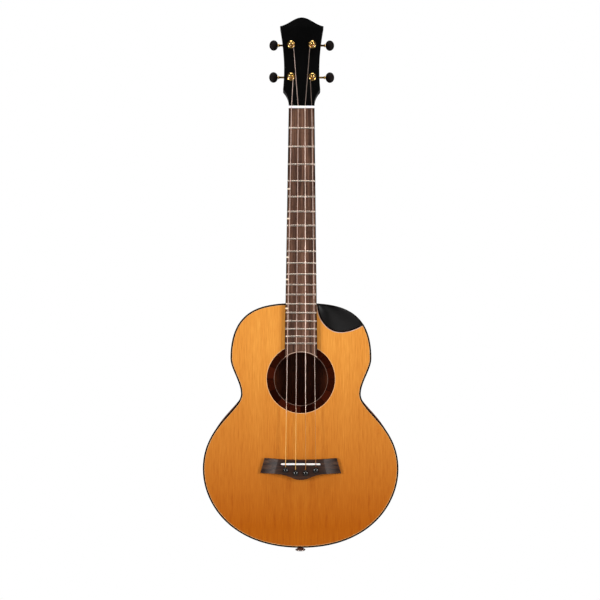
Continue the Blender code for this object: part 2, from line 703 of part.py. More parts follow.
def make_scoop_panel(steps=12, across=5):
    """Hollow panel between the soundboard's scooped edge and the lowered rim of the side."""
    arc = scoop_arc(24)
    arc = [p for p in arc if distance_to_loop(p, BODY_LOOP) >= SIDE_INNER]
    outer = [p for p in inset(BODY_LOOP, SIDE_INNER)
             if p[0] > arc[-1][0] + MM and p[1] > arc[0][1] + MM]
    outer = [arc[0]] + outer + [arc[-1]]
    inner_run = resample(arc, steps)
    outer_run = resample(outer, steps)
    upper = BINDING_HEIGHT + CLEAR
    bm = bmesh.new()
    rows = []
    for i in range(steps + 1):
        share = i / steps
        rim = max(scoop_rim(share), upper + MM)
        row = []
        for j in range(across + 1):
            way = j / across
            x, y = mix(inner_run[i], outer_run[i], way)
            drop = 1 - (1 - way) ** SCOOP_HOLLOW
            row.append(bm.verts.new((x, y, -upper - (rim - upper) * drop)))
        rows.append(row)
    for row, following in zip(rows, rows[1:]):
        for j in range(across):
            bm.faces.new((row[j], row[j + 1], following[j + 1], following[j]))
    bmesh.ops.remove_doubles(bm, verts=bm.verts, dist=0.01 * MM)
    for face in bm.faces:
        face.normal_update()
        if face.normal.z < 0:
            face.normal_flip()
    mesh = bpy.data.meshes.new("scoop_panel")
    bm.to_mesh(mesh)
    bm.free()
    panel = link_object("scoop_panel", mesh, FACE, SCOOP_BLACK)
    wall = panel.modifiers.new("wall", "SOLIDIFY")
    wall.thickness = PANEL_THICKNESS
    wall.offset = -1
    smooth(panel)


def edge_run(loop, x_low, x_high, upper):
    """The upper or lower run of a loop between two values of x, left to right."""
    middle = (BODY_TOP + BODY_END) / 2
    run = sorted(p for p in loop if (p[1] > middle) == upper and abs(p[0]) < 2 * NECK_BLOCK_WIDTH)
    inner = [p for p in run if x_low < p[0] < x_high]
    return [crossing(run, 0, x_low)] + inner + [crossing(run, 0, x_high)]


def fit_to_back(obj):
    """Bring the rear face of a block down to the back's inner side."""
    for vertex in obj.data.vertices:
        if vertex.co.z < -DEPTH_AT_HEEL / 2:
            vertex.co.z = BACK_THICKNESS + CLEAR - body_depth(vertex.co.y)


def make_blocks(screw_way):
    inner = inset(BODY_LOOP, SIDE_INNER)
    front = -TOP_THICKNESS - CLEAR
    bass_x = -NECK_BLOCK_WIDTH / 2
    foot = BODY_TOP - SIDE_INNER - NECK_BLOCK_LENGTH
    outline = [(bass_x, foot), (SCOOP_BLOCK_X, foot)]
    outline += list(reversed(edge_run(inner, bass_x, SCOOP_BLOCK_X, True)))
    neck_block = flat_shape("neck_block", [outline], -DEPTH_AT_HEEL, front, FACE, MAHOGANY)
    fit_to_back(neck_block)
    # The block stays below the binding that crosses the neck joint.
    binding_way = flat_shape("binding_way", [TOP_LOOP, inset(TOP_LOOP, BINDING_WIDTH + 2 * CLEAR)],
                             -BINDING_HEIGHT - CLEAR, MM, FACE, None)
    cut(neck_block, binding_way)
    half = TAIL_BLOCK_WIDTH / 2
    top = BODY_END + SIDE_INNER + TAIL_BLOCK_LENGTH
    outline = edge_run(inner, -half, half, False) + [(half, top), (-half, top)]
    tail_block = flat_shape("tail_block", [outline], -DEPTH_AT_HEEL, front, FACE, MAHOGANY)
    fit_to_back(tail_block)
    # Rebates take the linings, which run on round the tail.
    wide = [BODY_LOOP, inset(BODY_LOOP, LINING_INNER + LINING_LEAN + CLEAR)]
    top_rebate = flat_shape("top_rebate", wide, front - LINING_HEIGHT - CLEAR, 5 * MM, FACE, None)
    inner_face = BACK_THICKNESS + CLEAR
    back_rebate = flat_shape("back_rebate", [in_back_plane(loop) for loop in wide],
                             -5 * MM, inner_face + LINING_HEIGHT + CLEAR, BACK, None)
    cut(tail_block, top_rebate, back_rebate, screw_way)


def round_from_block(loop):
    """The run of a loop from the neck block's bass side, round the tail, to its treble side."""
    low = -NECK_BLOCK_WIDTH / 2 - CLEAR
    high = SCOOP_BLOCK_X + CLEAR
    first = next(i for i, p in enumerate(loop) if p[0] < low)
    last = max(i for i, p in enumerate(loop) if p[0] > high)
    start = crossing(loop[first - 1:first + 1], 0, low)
    end = crossing([loop[last], loop[(last + 1) % len(loop)]], 0, high)
    return [start] + loop[first:last + 1] + [end]


def make_linings():
    front = -TOP_THICKNESS - CLEAR
    outline = (round_from_block(inset(TOP_LOOP, SIDE_INNER))
               + list(reversed(round_from_block(inset(TOP_LOOP, LINING_INNER)))))
    flat_shape("top_lining", [outline], front - LINING_HEIGHT, front, FACE, MAHOGANY)
    outline = (round_from_block(inset(BODY_LOOP, SIDE_INNER + LINING_LEAN))
               + list(reversed(round_from_block(inset(BODY_LOOP, LINING_INNER + LINING_LEAN)))))
    inner_face = BACK_THICKNESS + CLEAR
    flat_shape("back_lining", [in_back_plane(outline)], inner_face, inner_face + LINING_HEIGHT,
               BACK, MAHOGANY)


def make_brace(name, length, width, height, taper, place):
    """A bar with scooped ends. Local x is its length, y its height and z its width."""
    half = length / 2
    ends = bezier((half, BRACE_TIP), (half - 0.6 * taper, BRACE_TIP),
                  (half - 0.7 * taper, height), (half - taper, height), 5)
    profile = [(-half, 0), (half, 0)] + ends + [(half - taper, height)]
    profile += [(-x, y) for x, y in reversed(ends + [(half - taper, height)])]
    return flat_shape(name, [profile], -width / 2, width / 2, place, SPRUCE)


def make_braces():
    below_top = FACE @ Matrix.Translation((0, 0, -TOP_THICKNESS - CLEAR))
    hang = Matrix.Rotation(-math.pi / 2, 4, "X")
    for name, y in (("upper_brace", BODY_TOP - UPPER_BRACE_AT),
                    ("lower_brace", SOUNDHOLE_Y - SOUNDHOLE_RADIUS - LOWER_BRACE_GAP)):
        make_brace(name, brace_length(y), BRACE_WIDTH, TOP_BRACE_HEIGHT, BRACE_TAPER,
                   below_top @ Matrix.Translation((0, y, 0)) @ hang)
    fan_top = SOUNDHOLE_Y - SOUNDHOLE_RADIUS - LOWER_BRACE_GAP - BRACE_WIDTH / 2 - MM
    fan_y = fan_top - FAN_LENGTH / 2
    notch = block("bridge_plate_way",
                  (-BRIDGE_PLATE_WIDTH / 2 - CLEAR, bridge_plate_y()[0] - CLEAR,
                   -TOP_THICKNESS - BRIDGE_PLATE_THICKNESS - 2 * CLEAR),
                  (BRIDGE_PLATE_WIDTH / 2 + CLEAR, bridge_plate_y()[1] + CLEAR, MM), FACE, None)
    for name, side in (("bass", -1), ("centre", 0), ("treble", 1)):
        turn = Matrix.Rotation(math.pi / 2 + math.radians(side * FAN_ANGLE), 4, "Z")
        brace = make_brace("fan_brace_" + name, FAN_LENGTH, FAN_WIDTH, FAN_HEIGHT, FAN_TAPER,
                           below_top @ Matrix.Translation((side * FAN_SPREAD, fan_y, 0)) @ turn @ hang)
        cut(brace, notch)
    on_back = BACK @ Matrix.Translation((0, 0, BACK_THICKNESS + CLEAR))
    stand = Matrix.Rotation(math.pi / 2, 4, "X")
    for name, at in BACK_BRACES_AT.items():
        length = brace_length(BODY_TOP - at)
        make_brace("back_brace_" + name, length, BRACE_WIDTH, BACK_BRACE_HEIGHT, BRACE_TAPER,
                   on_back @ Matrix.Translation((0, -at / math.cos(BACK_TAPER), 0)) @ stand)


# Bridge

def bridge_plate_y():
    middle = BRIDGE_Y - (BRIDGE_LENGTH + BRIDGE_BELLY) / 2
    return middle - BRIDGE_PLATE_LENGTH / 2, middle + BRIDGE_PLATE_LENGTH / 2


def make_bridge_plate():
    low, high = bridge_plate_y()
    half = BRIDGE_PLATE_WIDTH / 2
    front = -TOP_THICKNESS - CLEAR
    plate = flat_shape("bridge_plate", [[(-half, low), (half, low), (half, high), (-half, high)]],
                       front - BRIDGE_PLATE_THICKNESS, front, FACE, ROSEWOOD)
    cut_pin_holes(plate, front - BRIDGE_PLATE_THICKNESS, front)


def bridge_outline():
    """Treble half runs from the belly up to the hollow upper edge; the bass half mirrors it."""
    foot = BRIDGE_Y - BRIDGE_LENGTH
    belly = foot - BRIDGE_BELLY
    corner = BRIDGE_BOTTOM_WIDTH / 2
    flat = BRIDGE_BELLY_SHARE * corner
    half = bezier((0, belly), (0.33 * flat, belly), (0.42 * flat, foot), (flat, foot), 9)
    half += [(flat, foot), (corner, foot + 0.3 * MM), (BRIDGE_TOP_WIDTH / 2, BRIDGE_Y)]
    top = BRIDGE_TOP_WIDTH / 2
    edge = bezier((top, BRIDGE_Y), (0.6 * top, BRIDGE_Y - 0.8 * BRIDGE_HOLLOW),
                  (0.3 * top, BRIDGE_Y - BRIDGE_HOLLOW), (0, BRIDGE_Y - BRIDGE_HOLLOW), 6)
    half += edge[1:]
    return half + [(0, BRIDGE_Y - BRIDGE_HOLLOW)] + [(-x, y) for x, y in reversed(half[1:])]


def make_bridge():
    bridge = flat_shape("bridge", [bridge_outline()], CLEAR, BRIDGE_TOP, FACE, ROSEWOOD)
    wing = CLEAR + BRIDGE_WING_HEIGHT
    foot = BRIDGE_Y - BRIDGE_LENGTH - BRIDGE_BELLY
    far = BRIDGE_BOTTOM_WIDTH
    for side in (-1, 1):
        # Each wing is cut down from the thick middle with a slanting, ramped shoulder.
        sections = []
        for y in (BRIDGE_Y + 2 * MM, foot):
            share = (BRIDGE_Y - y) / BRIDGE_LENGTH
            edge = (BRIDGE_BLOCK_TOP + (BRIDGE_BLOCK_BOTTOM - BRIDGE_BLOCK_TOP) * share) / 2
            ramp = [(edge + way * BRIDGE_RAMP, wing + (1 - way) ** 2 * (BRIDGE_TOP - wing))
                    for way in (0, 0.3, 0.6, 1)]
            shoulder = [(edge, BRIDGE_TOP + MM)] + ramp + [(far, wing), (far, BRIDGE_TOP + MM)]
            sections.append([(side * x, y, z) for x, z in shoulder])
        cut(bridge, loft("bridge_wing_way", sections, FACE, None))
    cut(bridge, block("saddle_slot",
                      (-SADDLE_LENGTH / 2 - CLEAR, SADDLE_Y - SADDLE_THICKNESS / 2 - CLEAR,
                       BRIDGE_TOP - SADDLE_SLOT_DEPTH),
                      (SADDLE_LENGTH / 2 + CLEAR, SADDLE_Y + SADDLE_THICKNESS / 2 + CLEAR,
                       BRIDGE_TOP + MM), FACE, None))
    cut_pin_holes(bridge, CLEAR, BRIDGE_TOP)


def saddle_top():
    return string_level(SADDLE_Y, THICKEST_STRING / 2) - THICKEST_STRING / 2 - CLEAR


def make_saddle():
    half = SADDLE_LENGTH / 2
    thick = SADDLE_THICKNESS / 2
    low = BRIDGE_TOP - SADDLE_SLOT_DEPTH + CLEAR
    top = saddle_top()
    profile = [(-thick, low), (thick, low), (thick, top - thick),
               (0.55 * thick, top - 0.2 * thick), (0, top),
               (-0.55 * thick, top - 0.2 * thick), (-thick, top - thick)]
    sections = [[(x, SADDLE_Y + y, min(z, top - drop)) for y, z in profile]
                for x, drop in ((-half, 1.2 * MM), (-half + 2 * MM, 0), (half - 2 * MM, 0), (half, 1.2 * MM))]
    loft("saddle", sections, FACE, BONE)


def make_bridge_pins():
    for index in range(len(STRINGS)):
        x, y = pin_place(index)
        profile = [(0, PIN_HEAD_HEIGHT), (0.55 * PIN_HEAD_RADIUS, 0.85 * PIN_HEAD_HEIGHT),
                   (0.9 * PIN_HEAD_RADIUS, 0.45 * PIN_HEAD_HEIGHT), (PIN_HEAD_RADIUS, 0.1 * PIN_HEAD_HEIGHT),
                   (0.95 * PIN_HEAD_RADIUS, 0), (PIN_RADIUS, 0),
                   (PIN_TIP_RADIUS, -PIN_LENGTH), (0, -PIN_LENGTH - MM)]
        place = FACE @ Matrix.Translation((x, y, BRIDGE_TOP + CLEAR))
        turned(f"bridge_pin_{index + 1}", profile, place, BLACK_LACQUER)


def make_strap_button():
    """Turned button whose screw goes through the sides' seam into the tail block."""
    length = STRAP_BUTTON_LENGTH
    radius = STRAP_BUTTON_RADIUS
    recess = STRAP_RECESS_RADIUS
    rim = length - STRAP_DOME
    flat = STRAP_FLAT_RADIUS
    profile = [(0, length - 0.6 * MM), (recess, length - 0.6 * MM), (recess, length), (flat, length),
               (flat + 0.5 * (radius - flat), rim + 0.87 * STRAP_DOME),
               (flat + 0.87 * (radius - flat), rim + 0.5 * STRAP_DOME),
               (radius, rim), (radius - 0.2 * MM, rim - 0.5 * MM), (0.62 * radius, rim - 2.0 * MM),
               (0.5 * radius, 0.4 * length), (0.6 * radius, 0.12 * length), (0.78 * radius, 0),
               (STRAP_SCREW_RADIUS, 0), (STRAP_SCREW_RADIUS, -STRAP_SCREW_LENGTH),
               (0, -STRAP_SCREW_LENGTH - 1.6 * STRAP_SCREW_RADIUS)]
    place = (FACE @ Matrix.Translation((0, BODY_END - CLEAR, -body_depth(BODY_END) / 2))
             @ Matrix.Rotation(math.pi / 2, 4, "X"))
    turned("strap_button", profile, place, STEEL)


# Neck, headstock and fingerboard

def head_half_outline():
    """(distance up the headstock, half width) from the nut to the crest's centre."""
    shoulder = (HEAD_SHOULDER_AT, HEAD_SHOULDER_WIDTH / 2)
    corner = (HEAD_CORNER_AT, HEAD_CORNER_WIDTH / 2)
    start = NUT_WIDTH / 2
    flare = shoulder[1] - start
    points = bezier((0, start), (0.45 * shoulder[0], start),
                    (0.69 * shoulder[0], start + 0.25 * flare), shoulder, 7)
    span = corner[0] - shoulder[0]
    points += bezier(shoulder, (shoulder[0] + 0.26 * span, shoulder[1] - 2.4 * MM),
                     (shoulder[0] + 0.62 * span, shoulder[1] - 1.7 * MM), corner, 8)
    points += bezier(corner, (corner[0] + 0.2 * HEAD_CREST, 0.6 * corner[1]),
                     (HEAD_LENGTH, 0.345 * corner[1]), (HEAD_LENGTH, 0), 10)
    return points + [(HEAD_LENGTH, 0)]


def head_outline(start):
    half = [(max(u, start), w) for u, w in head_half_outline()]
    return [(w, u) for u, w in half] + [(-w, u) for u, w in reversed(half[:-1])]


def neck_section(width, depth, squareness, taper, steps=10):
    """Closed (x, z) section: flat in front, rounded behind."""
    points = []
    for i in range(steps + 1):
        angle = math.pi * i / steps
        c, s = math.cos(angle), math.sin(angle)
        z = -depth * abs(s) ** (2 / squareness)
        x = -math.copysign(abs(c) ** (2 / squareness), c) * width / 2
        points.append((x * (1 + taper * z / DEPTH_AT_HEEL), z if 0 < i < steps else 0))
    return points


def heel_stations(steps=8):
    """(y, depth, squareness) from the body joint along the heel's cove to the shaft."""
    end = BODY_TOP + CLEAR
    cove = HEEL_LENGTH - HEEL_FOOT
    stations = [(end, DEPTH_AT_HEEL, 3.4)]
    for i in range(steps + 1):
        angle = math.pi / 2 * (1 - i / steps)
        y = end + HEEL_FOOT + cove * (1 - math.sin(angle))
        depth = NECK_DEPTH_HEEL + (DEPTH_AT_HEEL - NECK_DEPTH_HEEL) * (1 - math.cos(angle))
        stations.append((y, depth, 2.2 + 1.2 * (1 - math.cos(angle))))
    return stations


def make_neck():
    sections = []
    for y, depth, squareness in heel_stations():
        sections.append([(x, y, z) for x, z in
                         neck_section(board_width(y), depth, squareness, HEEL_TAPER)])
    start = sections[-1][0][1]
    shaft_end = -6 * MM
    for i in range(1, 5):
        y = start + (shaft_end - start) * i / 4
        depth = NECK_DEPTH_HEEL + (NECK_DEPTH_NUT - NECK_DEPTH_HEEL) * i / 4
        sections.append([(x, y, z) for x, z in neck_section(board_width(y), depth, 2.2, HEEL_TAPER)])
    head_from_face = FACE.inverted() @ HEAD
    half = [p for p in head_half_outline() if p[0] < HEAD_CORNER_AT]
    half = [(CLEAR, NUT_WIDTH / 2)] + half[2:] + [
        (HEAD_CORNER_AT, HEAD_CORNER_WIDTH / 2), (HEAD_LENGTH + MM, HEAD_CORNER_WIDTH / 2 + MM)]
    for up, half_width_here in half:
        square = 3.0 + 21.0 * min(1.0, up / HEAD_SHOULDER_AT)
        section = neck_section(2 * half_width_here, HEAD_THICKNESS, square, 0)
        sections.append([tuple(head_from_face @ Vector((x, up, z))) for x, z in section])
    neck = loft("neck", sections, FACE, MAHOGANY)
    crest = [(w, u) for u, w in head_half_outline() if u >= HEAD_CORNER_AT]
    crest += [(-w, u) for w, u in reversed(crest[:-1])]
    far = HEAD_CORNER_WIDTH
    crest_way = [(far, HEAD_CORNER_AT)] + crest + [(-far, HEAD_CORNER_AT), (-far, HEAD_LENGTH + far),
                                                   (far, HEAD_LENGTH + far)]
    cut(neck, flat_shape("crest_way", [crest_way], -HEAD_THICKNESS - MM, MM, HEAD, None))
    for x, up in post_places():
        cut(neck, rod("bushing_way", BUSHING_SLEEVE_RADIUS + CLEAR, (x, up, -HEAD_THICKNESS - MM),
                      (x, up, MM), HEAD, None, ROUND))


def make_headplate():
    holes = [circle(x, up, BUSHING_SLEEVE_RADIUS + CLEAR, ROUND) for x, up in post_places()]
    flat_shape("headplate", [head_outline(CLEAR)] + holes, CLEAR, HEADPLATE_TOP,
               HEAD, BLACK_LACQUER)


def make_fingerboard():
    end_radius = SOUNDHOLE_RADIUS + CLEAR
    corner_y = SOUNDHOLE_Y + end_radius
    for _ in range(4):
        corner_y = SOUNDHOLE_Y + math.sqrt(end_radius ** 2 - (board_width(corner_y) / 2) ** 2)
    spread = math.asin(board_width(corner_y) / 2 / end_radius)
    arc = [spread * (1 - 2 * i / 12) for i in range(13)]
    outline = [(NUT_WIDTH / 2, -CLEAR), (-NUT_WIDTH / 2, -CLEAR)]
    outline += [(-end_radius * math.sin(a), SOUNDHOLE_Y + end_radius * math.cos(a)) for a in arc]
    board = flat_shape("fingerboard", [outline], CLEAR, BOARD_TOP, FACE, ROSEWOOD)
    for number in range(1, FRET_COUNT + 1):
        y = fret_y(number)
        half = board_width(y) / 2 - FRET_INSET
        crown = [(-FRET_WIDTH / 2, BOARD_TOP - 0.3 * MM), (FRET_WIDTH / 2, BOARD_TOP - 0.3 * MM),
                 (0.42 * FRET_WIDTH, BOARD_TOP + 0.6 * FRET_HEIGHT), (0, FRET_TOP),
                 (-0.42 * FRET_WIDTH, BOARD_TOP + 0.6 * FRET_HEIGHT)]
        fret = loft(f"fret_{number}", [[(x, y + along, z) for along, z in crown]
                                       for x in (-half, half)], FACE, None)
        join(board, fret)


def make_nut():
    top = string_level(0, THICKEST_STRING / 2) + CLEAR
    fall = NUT_THICKNESS * math.tan(math.radians(HEAD_TILT))
    profile = [(0, CLEAR), (NUT_THICKNESS, CLEAR), (NUT_THICKNESS, top - fall - 0.6 * MM),
               (NUT_THICKNESS - 0.6 * MM, top - fall), (0.3 * MM, top), (0, top - 0.3 * MM)]
    half = NUT_WIDTH / 2
    nut = loft("nut", [[(x, y, z) for y, z in profile] for x in (-half, half)], FACE, BONE)
    for index, (name, diameter, row, turns) in enumerate(STRINGS):
        route = nut_crossing(index)
        before = route[0] + (route[0] - route[1]).normalized() * 4 * MM
        slot = tube(f"nut_slot_{name}", [before, route[1], route[2]],
                    diameter / 2 + CLEAR, FACE, None)
        cut(nut, slot)


# Tuning machines

def post_places():
    """(x, distance up the headstock) of each post, in the order of the strings."""
    places = []
    for index, (name, diameter, row, turns) in enumerate(STRINGS):
        side = -1 if index < len(STRINGS) / 2 else 1
        places.append((side * POST_SPREAD / 2, POST_ROW_SHARES[row] * HEAD_LENGTH))
    return places


def make_bushing(number, post):
    flange = BUSHING_TOP - CLEAR - HEADPLATE_TOP
    bore = POST_RADIUS + CLEAR
    profile = [(bore, flange), (BUSHING_RADIUS - 0.9 * MM, flange), (BUSHING_RADIUS, 0),
               (BUSHING_SLEEVE_RADIUS, 0), (BUSHING_SLEEVE_RADIUS, -BUSHING_SLEEVE_DEPTH),
               (bore, -BUSHING_SLEEVE_DEPTH)]
    turned(f"tuner_bushing_{number}", profile,
           post @ Matrix.Translation((0, 0, HEADPLATE_TOP + CLEAR)), GOLD, closed=True)


def wheel_loop(twist):
    """Outline of the worm wheel; one tooth points up the headstock."""
    step = 2 * math.pi / WHEEL_TEETH
    lean = math.tan(math.radians(THREAD_FLANK))
    half = THREAD_SHARE * WORM_PITCH / 2
    root = WHEEL_RADIUS - THREAD_DEDENDUM
    tip = WHEEL_RADIUS + THREAD_ADDENDUM
    root_turn = (half + THREAD_DEDENDUM * lean) / root
    tip_turn = (half - THREAD_ADDENDUM * lean) / tip
    loop = []
    for tooth in range(WHEEL_TEETH):
        middle = math.pi / 2 + tooth * step + twist
        for radius, turn in ((root, -root_turn), (tip, -tip_turn), (tip, tip_turn), (root, root_turn)):
            loop.append((radius * math.cos(middle + turn), radius * math.sin(middle + turn)))
    return loop


def make_string_post(number, post, hole_angle, string_radius):
    """Post with its worm wheel at the back, a waist for the string and a domed top."""
    top = HEADPLATE_TOP + POST_HEIGHT
    profile = [(0, top), (0.6 * POST_RADIUS, top - 0.4 * MM), (POST_RADIUS, top - 1.3 * MM),
               (POST_RADIUS, top - 1.6 * MM), (POST_WAIST_RADIUS, top - 2.3 * MM),
               (POST_WAIST_RADIUS, BUSHING_TOP + 0.7 * MM), (POST_RADIUS, BUSHING_TOP + 0.2 * MM),
               (POST_RADIUS, WHEEL_BACK - 0.7 * MM), (0, WHEEL_BACK - 0.7 * MM)]
    body = turned(f"string_post_{number}", profile, post, GOLD)
    lean = WORM_PITCH / (2 * math.pi * WORM_PITCH_RADIUS * WHEEL_RADIUS)
    sections = []
    for level in (WHEEL_BACK, WHEEL_FRONT):
        sections.append([(x, y, level) for x, y in wheel_loop(lean * (level - WORM_LEVEL))])
    join(body, loft(f"worm_wheel_{number}", sections, post, None))
    across = Vector((math.cos(hole_angle), math.sin(hole_angle), 0)) * 2 * POST_RADIUS
    middle = Vector((0, 0, HEADPLATE_TOP + STRING_HOLE_HEIGHT))
    cut(body, rod(f"string_hole_{number}", string_radius + 1.3 * CLEAR, middle - across,
                  middle + across, post, None, 10))
    return body


def make_worm_shaft(number, shaft):
    """Worm between its two journals, and the shaft that reaches out to the button."""
    root = WORM_PITCH_RADIUS - THREAD_DEDENDUM
    outer = BUTTON_REACH - POST_SPREAD / 2
    end = outer + BUTTON_GRIP
    cheek = CHEEK_INNER + CHEEK_THICKNESS
    collar = outer - BUTTON_WIDTH / 2 - 0.5 * MM
    profile = [(0, end), (SHAFT_RADIUS, end), (SHAFT_RADIUS, collar),
               (1.7 * SHAFT_RADIUS, collar), (SHAFT_RADIUS, collar - 1.6 * MM),
               (SHAFT_RADIUS, WORM_HALF), (root, WORM_HALF), (root, -WORM_HALF),
               (SHAFT_RADIUS, -WORM_HALF), (SHAFT_RADIUS, -cheek), (0, -cheek)]
    body = turned(f"worm_shaft_{number}", profile, shaft, GOLD, WORM_STEPS)
    lean = math.tan(math.radians(THREAD_FLANK))
    half = THREAD_SHARE * WORM_PITCH / 2
    sunk = THREAD_DEDENDUM + 0.25 * MM
    # The thread's crest passes the wheel half a pitch to the side of the post's axis.
    start = -(THREAD_TURNS / 2 + 0.25) * WORM_PITCH
    if (THREAD_TURNS % 2) == 1:
        start += WORM_PITCH / 2
    quad = [(WORM_PITCH_RADIUS - sunk, start + half + sunk * lean),
            (WORM_RADIUS, start + half - THREAD_ADDENDUM * lean),
            (WORM_RADIUS, start - half + THREAD_ADDENDUM * lean),
            (WORM_PITCH_RADIUS - sunk, start - half - sunk * lean)]
    thread = turned(f"worm_thread_{number}", quad, shaft, None, WORM_STEPS, closed=True)
    screw = thread.modifiers["turn"]
    screw.use_merge_vertices = False
    screw.screw_offset = WORM_PITCH
    screw.iterations = THREAD_TURNS
    bpy.context.view_layer.update()
    depsgraph = bpy.context.evaluated_depsgraph_get()
    mesh = bpy.data.meshes.new_from_object(thread.evaluated_get(depsgraph))
    bm = bmesh.new()
    bm.from_mesh(mesh)
    bmesh.ops.remove_doubles(bm, verts=bm.verts, dist=0.001 * MM)
    bmesh.ops.holes_fill(bm, edges=[edge for edge in bm.edges if edge.is_boundary])
    bmesh.ops.recalc_face_normals(bm, faces=bm.faces)
    bm.to_mesh(mesh)
    bm.free()
    thread.modifiers.remove(screw)
    thread.data = mesh
    join(body, thread)


def make_button(number, shaft):
    """Oval button, pressed on the end of the worm shaft."""
    outer = BUTTON_REACH - POST_SPREAD / 2
    bm = bmesh.new()
    # The pole of the ball points through the button's thickness, local x.
    bmesh.ops.create_uvsphere(bm, u_segments=14, v_segments=6, radius=1)
    for vertex in bm.verts:
        x, y, z = vertex.co
        swell = 1 - 0.12 * z * z
        vertex.co = (z * BUTTON_THICKNESS / 2, y * BUTTON_HEIGHT / 2 * swell,
                     x * BUTTON_WIDTH / 2 * swell)
    bmesh.ops.recalc_face_normals(bm, faces=bm.faces)
    mesh = bpy.data.meshes.new("tuner_button")
    bm.to_mesh(mesh)
    bm.free()
    button = link_object(f"tuner_button_{number}", mesh, shaft @ Matrix.Translation((0, 0, outer)),
                         BLACK_LACQUER)
    smooth(button, 60)
    cut(button, rod(f"button_bore_{number}", SHAFT_RADIUS + CLEAR, (0, 0, -BUTTON_WIDTH),
                    (0, 0, BUTTON_GRIP + CLEAR), button.matrix_world, None))


def make_tuner_plate(number, post):
    """Plate screwed to the back of the headstock, with two cheeks that carry the worm."""
    half = PLATE_WIDTH / 2
    low = -PLATE_TAIL
    high = WORM_OFFSET + PLATE_TAIL
    corner = PLATE_CORNER
    outline = []
    for x, y, start in ((half, high, 0), (-half, high, 90), (-half, low, 180), (half, low, 270)):
        cx = x - math.copysign(corner, x)
        cy = y - math.copysign(corner, y - WORM_OFFSET / 2)
        for i in range(2):
            angle = math.radians(start + 15 + 60 * i)
            outline.append((cx + corner * math.cos(angle), cy + corner * math.sin(angle)))
    hole = circle(0, 0, POST_RADIUS + CLEAR, ROUND)
    screws = [circle(0, y, PLATE_SCREW_RADIUS, 6)
              for y in (low + PLATE_SCREW_INSET, high - PLATE_SCREW_INSET)]
    plate = flat_shape(f"tuner_plate_{number}", [outline, hole] + screws, PLATE_BACK, PLATE_FRONT,
                       post, GOLD)
    reach = SHAFT_RADIUS + CLEAR + CHEEK_WALL
    for side in (-1, 1):
        inner = side * CHEEK_INNER
        outer = side * (CHEEK_INNER + CHEEK_THICKNESS)
        join(plate, block(f"cheek_{number}", (min(inner, outer), WORM_OFFSET - reach, WORM_LEVEL - reach),
                          (max(inner, outer), WORM_OFFSET + reach, PLATE_FRONT - 0.4 * MM), post, None))
    far = CHEEK_INNER + 2 * CHEEK_THICKNESS
    cut(plate, rod(f"shaft_way_{number}", SHAFT_RADIUS + CLEAR, (-far, WORM_OFFSET, WORM_LEVEL),
                   (far, WORM_OFFSET, WORM_LEVEL), post, None))


def make_machines():
    for index, (x, up) in enumerate(post_places()):
        number = index + 1
        side = math.copysign(1, x)
        post = HEAD @ Matrix.Translation((x, up, 0))
        shaft = (post @ Matrix.Translation((0, WORM_OFFSET, WORM_LEVEL))
                 @ Matrix.Rotation(side * math.pi / 2, 4, "Y"))
        radius = STRINGS[index][1] / 2
        make_bushing(number, post)
        make_string_post(number, post, coil_end_angle(index), radius)
        make_worm_shaft(number, shaft)
        make_button(number, shaft)
        make_tuner_plate(number, post)


# Strings

def coil_radius(index):
    return POST_WAIST_RADIUS + CLEAR + STRINGS[index][1] / 2


def coil_pitch(index):
    return STRINGS[index][1] + COIL_GAP


def root_turn_level(index):
    """Height of the string's own turn over the headstock, below the post's coil."""
    turns = STRINGS[index][3]
    return HEADPLATE_TOP + STRING_HOLE_HEIGHT - coil_pitch(index) * (turns + 1)


def nut_point(index):
    radius = STRINGS[index][1] / 2
    return Vector((string_x(index, NUT_SPACING), 0, string_level(0, radius)))


def tangent_place(index):
    """Angle on the post at which the string arrives, and that point in face coordinates."""
    x, up = post_places()[index]
    to_face = FACE.inverted() @ HEAD
    nut = to_face.inverted() @ nut_point(index)
    radius = coil_radius(index)
    away = Vector((nut.x - x, nut.y - up))
    turn = math.acos(radius / away.length)
    angle = math.atan2(away.y, away.x) + (turn if x < 0 else -turn)
    local = Vector((x + radius * math.cos(angle), up + radius * math.sin(angle), root_turn_level(index)))
    return angle, to_face @ local


def nut_crossing(index):
    """Route over the nut: on the board's side, at the nut's front edge, and behind it."""
    front = nut_point(index)
    saddle_x = string_x(index, SADDLE_SPACING)
    share = NUT_LEAD / -SADDLE_Y
    before = Vector((front.x + (saddle_x - front.x) * share, -NUT_LEAD,
                     string_level(-NUT_LEAD, STRINGS[index][1] / 2)))
    angle, arrival = tangent_place(index)
    behind = front + (arrival - front).normalized() * NUT_SLOT_REACH
    return [before, front, behind]


def turn_direction(index):
    return 1 if post_places()[index][0] < 0 else -1


ROOT_TURN = 0.75 * 2 * math.pi


def coil_end_angle(index):
    """Angle of the string hole: the coil's last turn ends there."""
    angle, arrival = tangent_place(index)
    turns = STRINGS[index][3]
    return angle + turn_direction(index) * (ROOT_TURN + 2 * math.pi * (turns - 0.25))


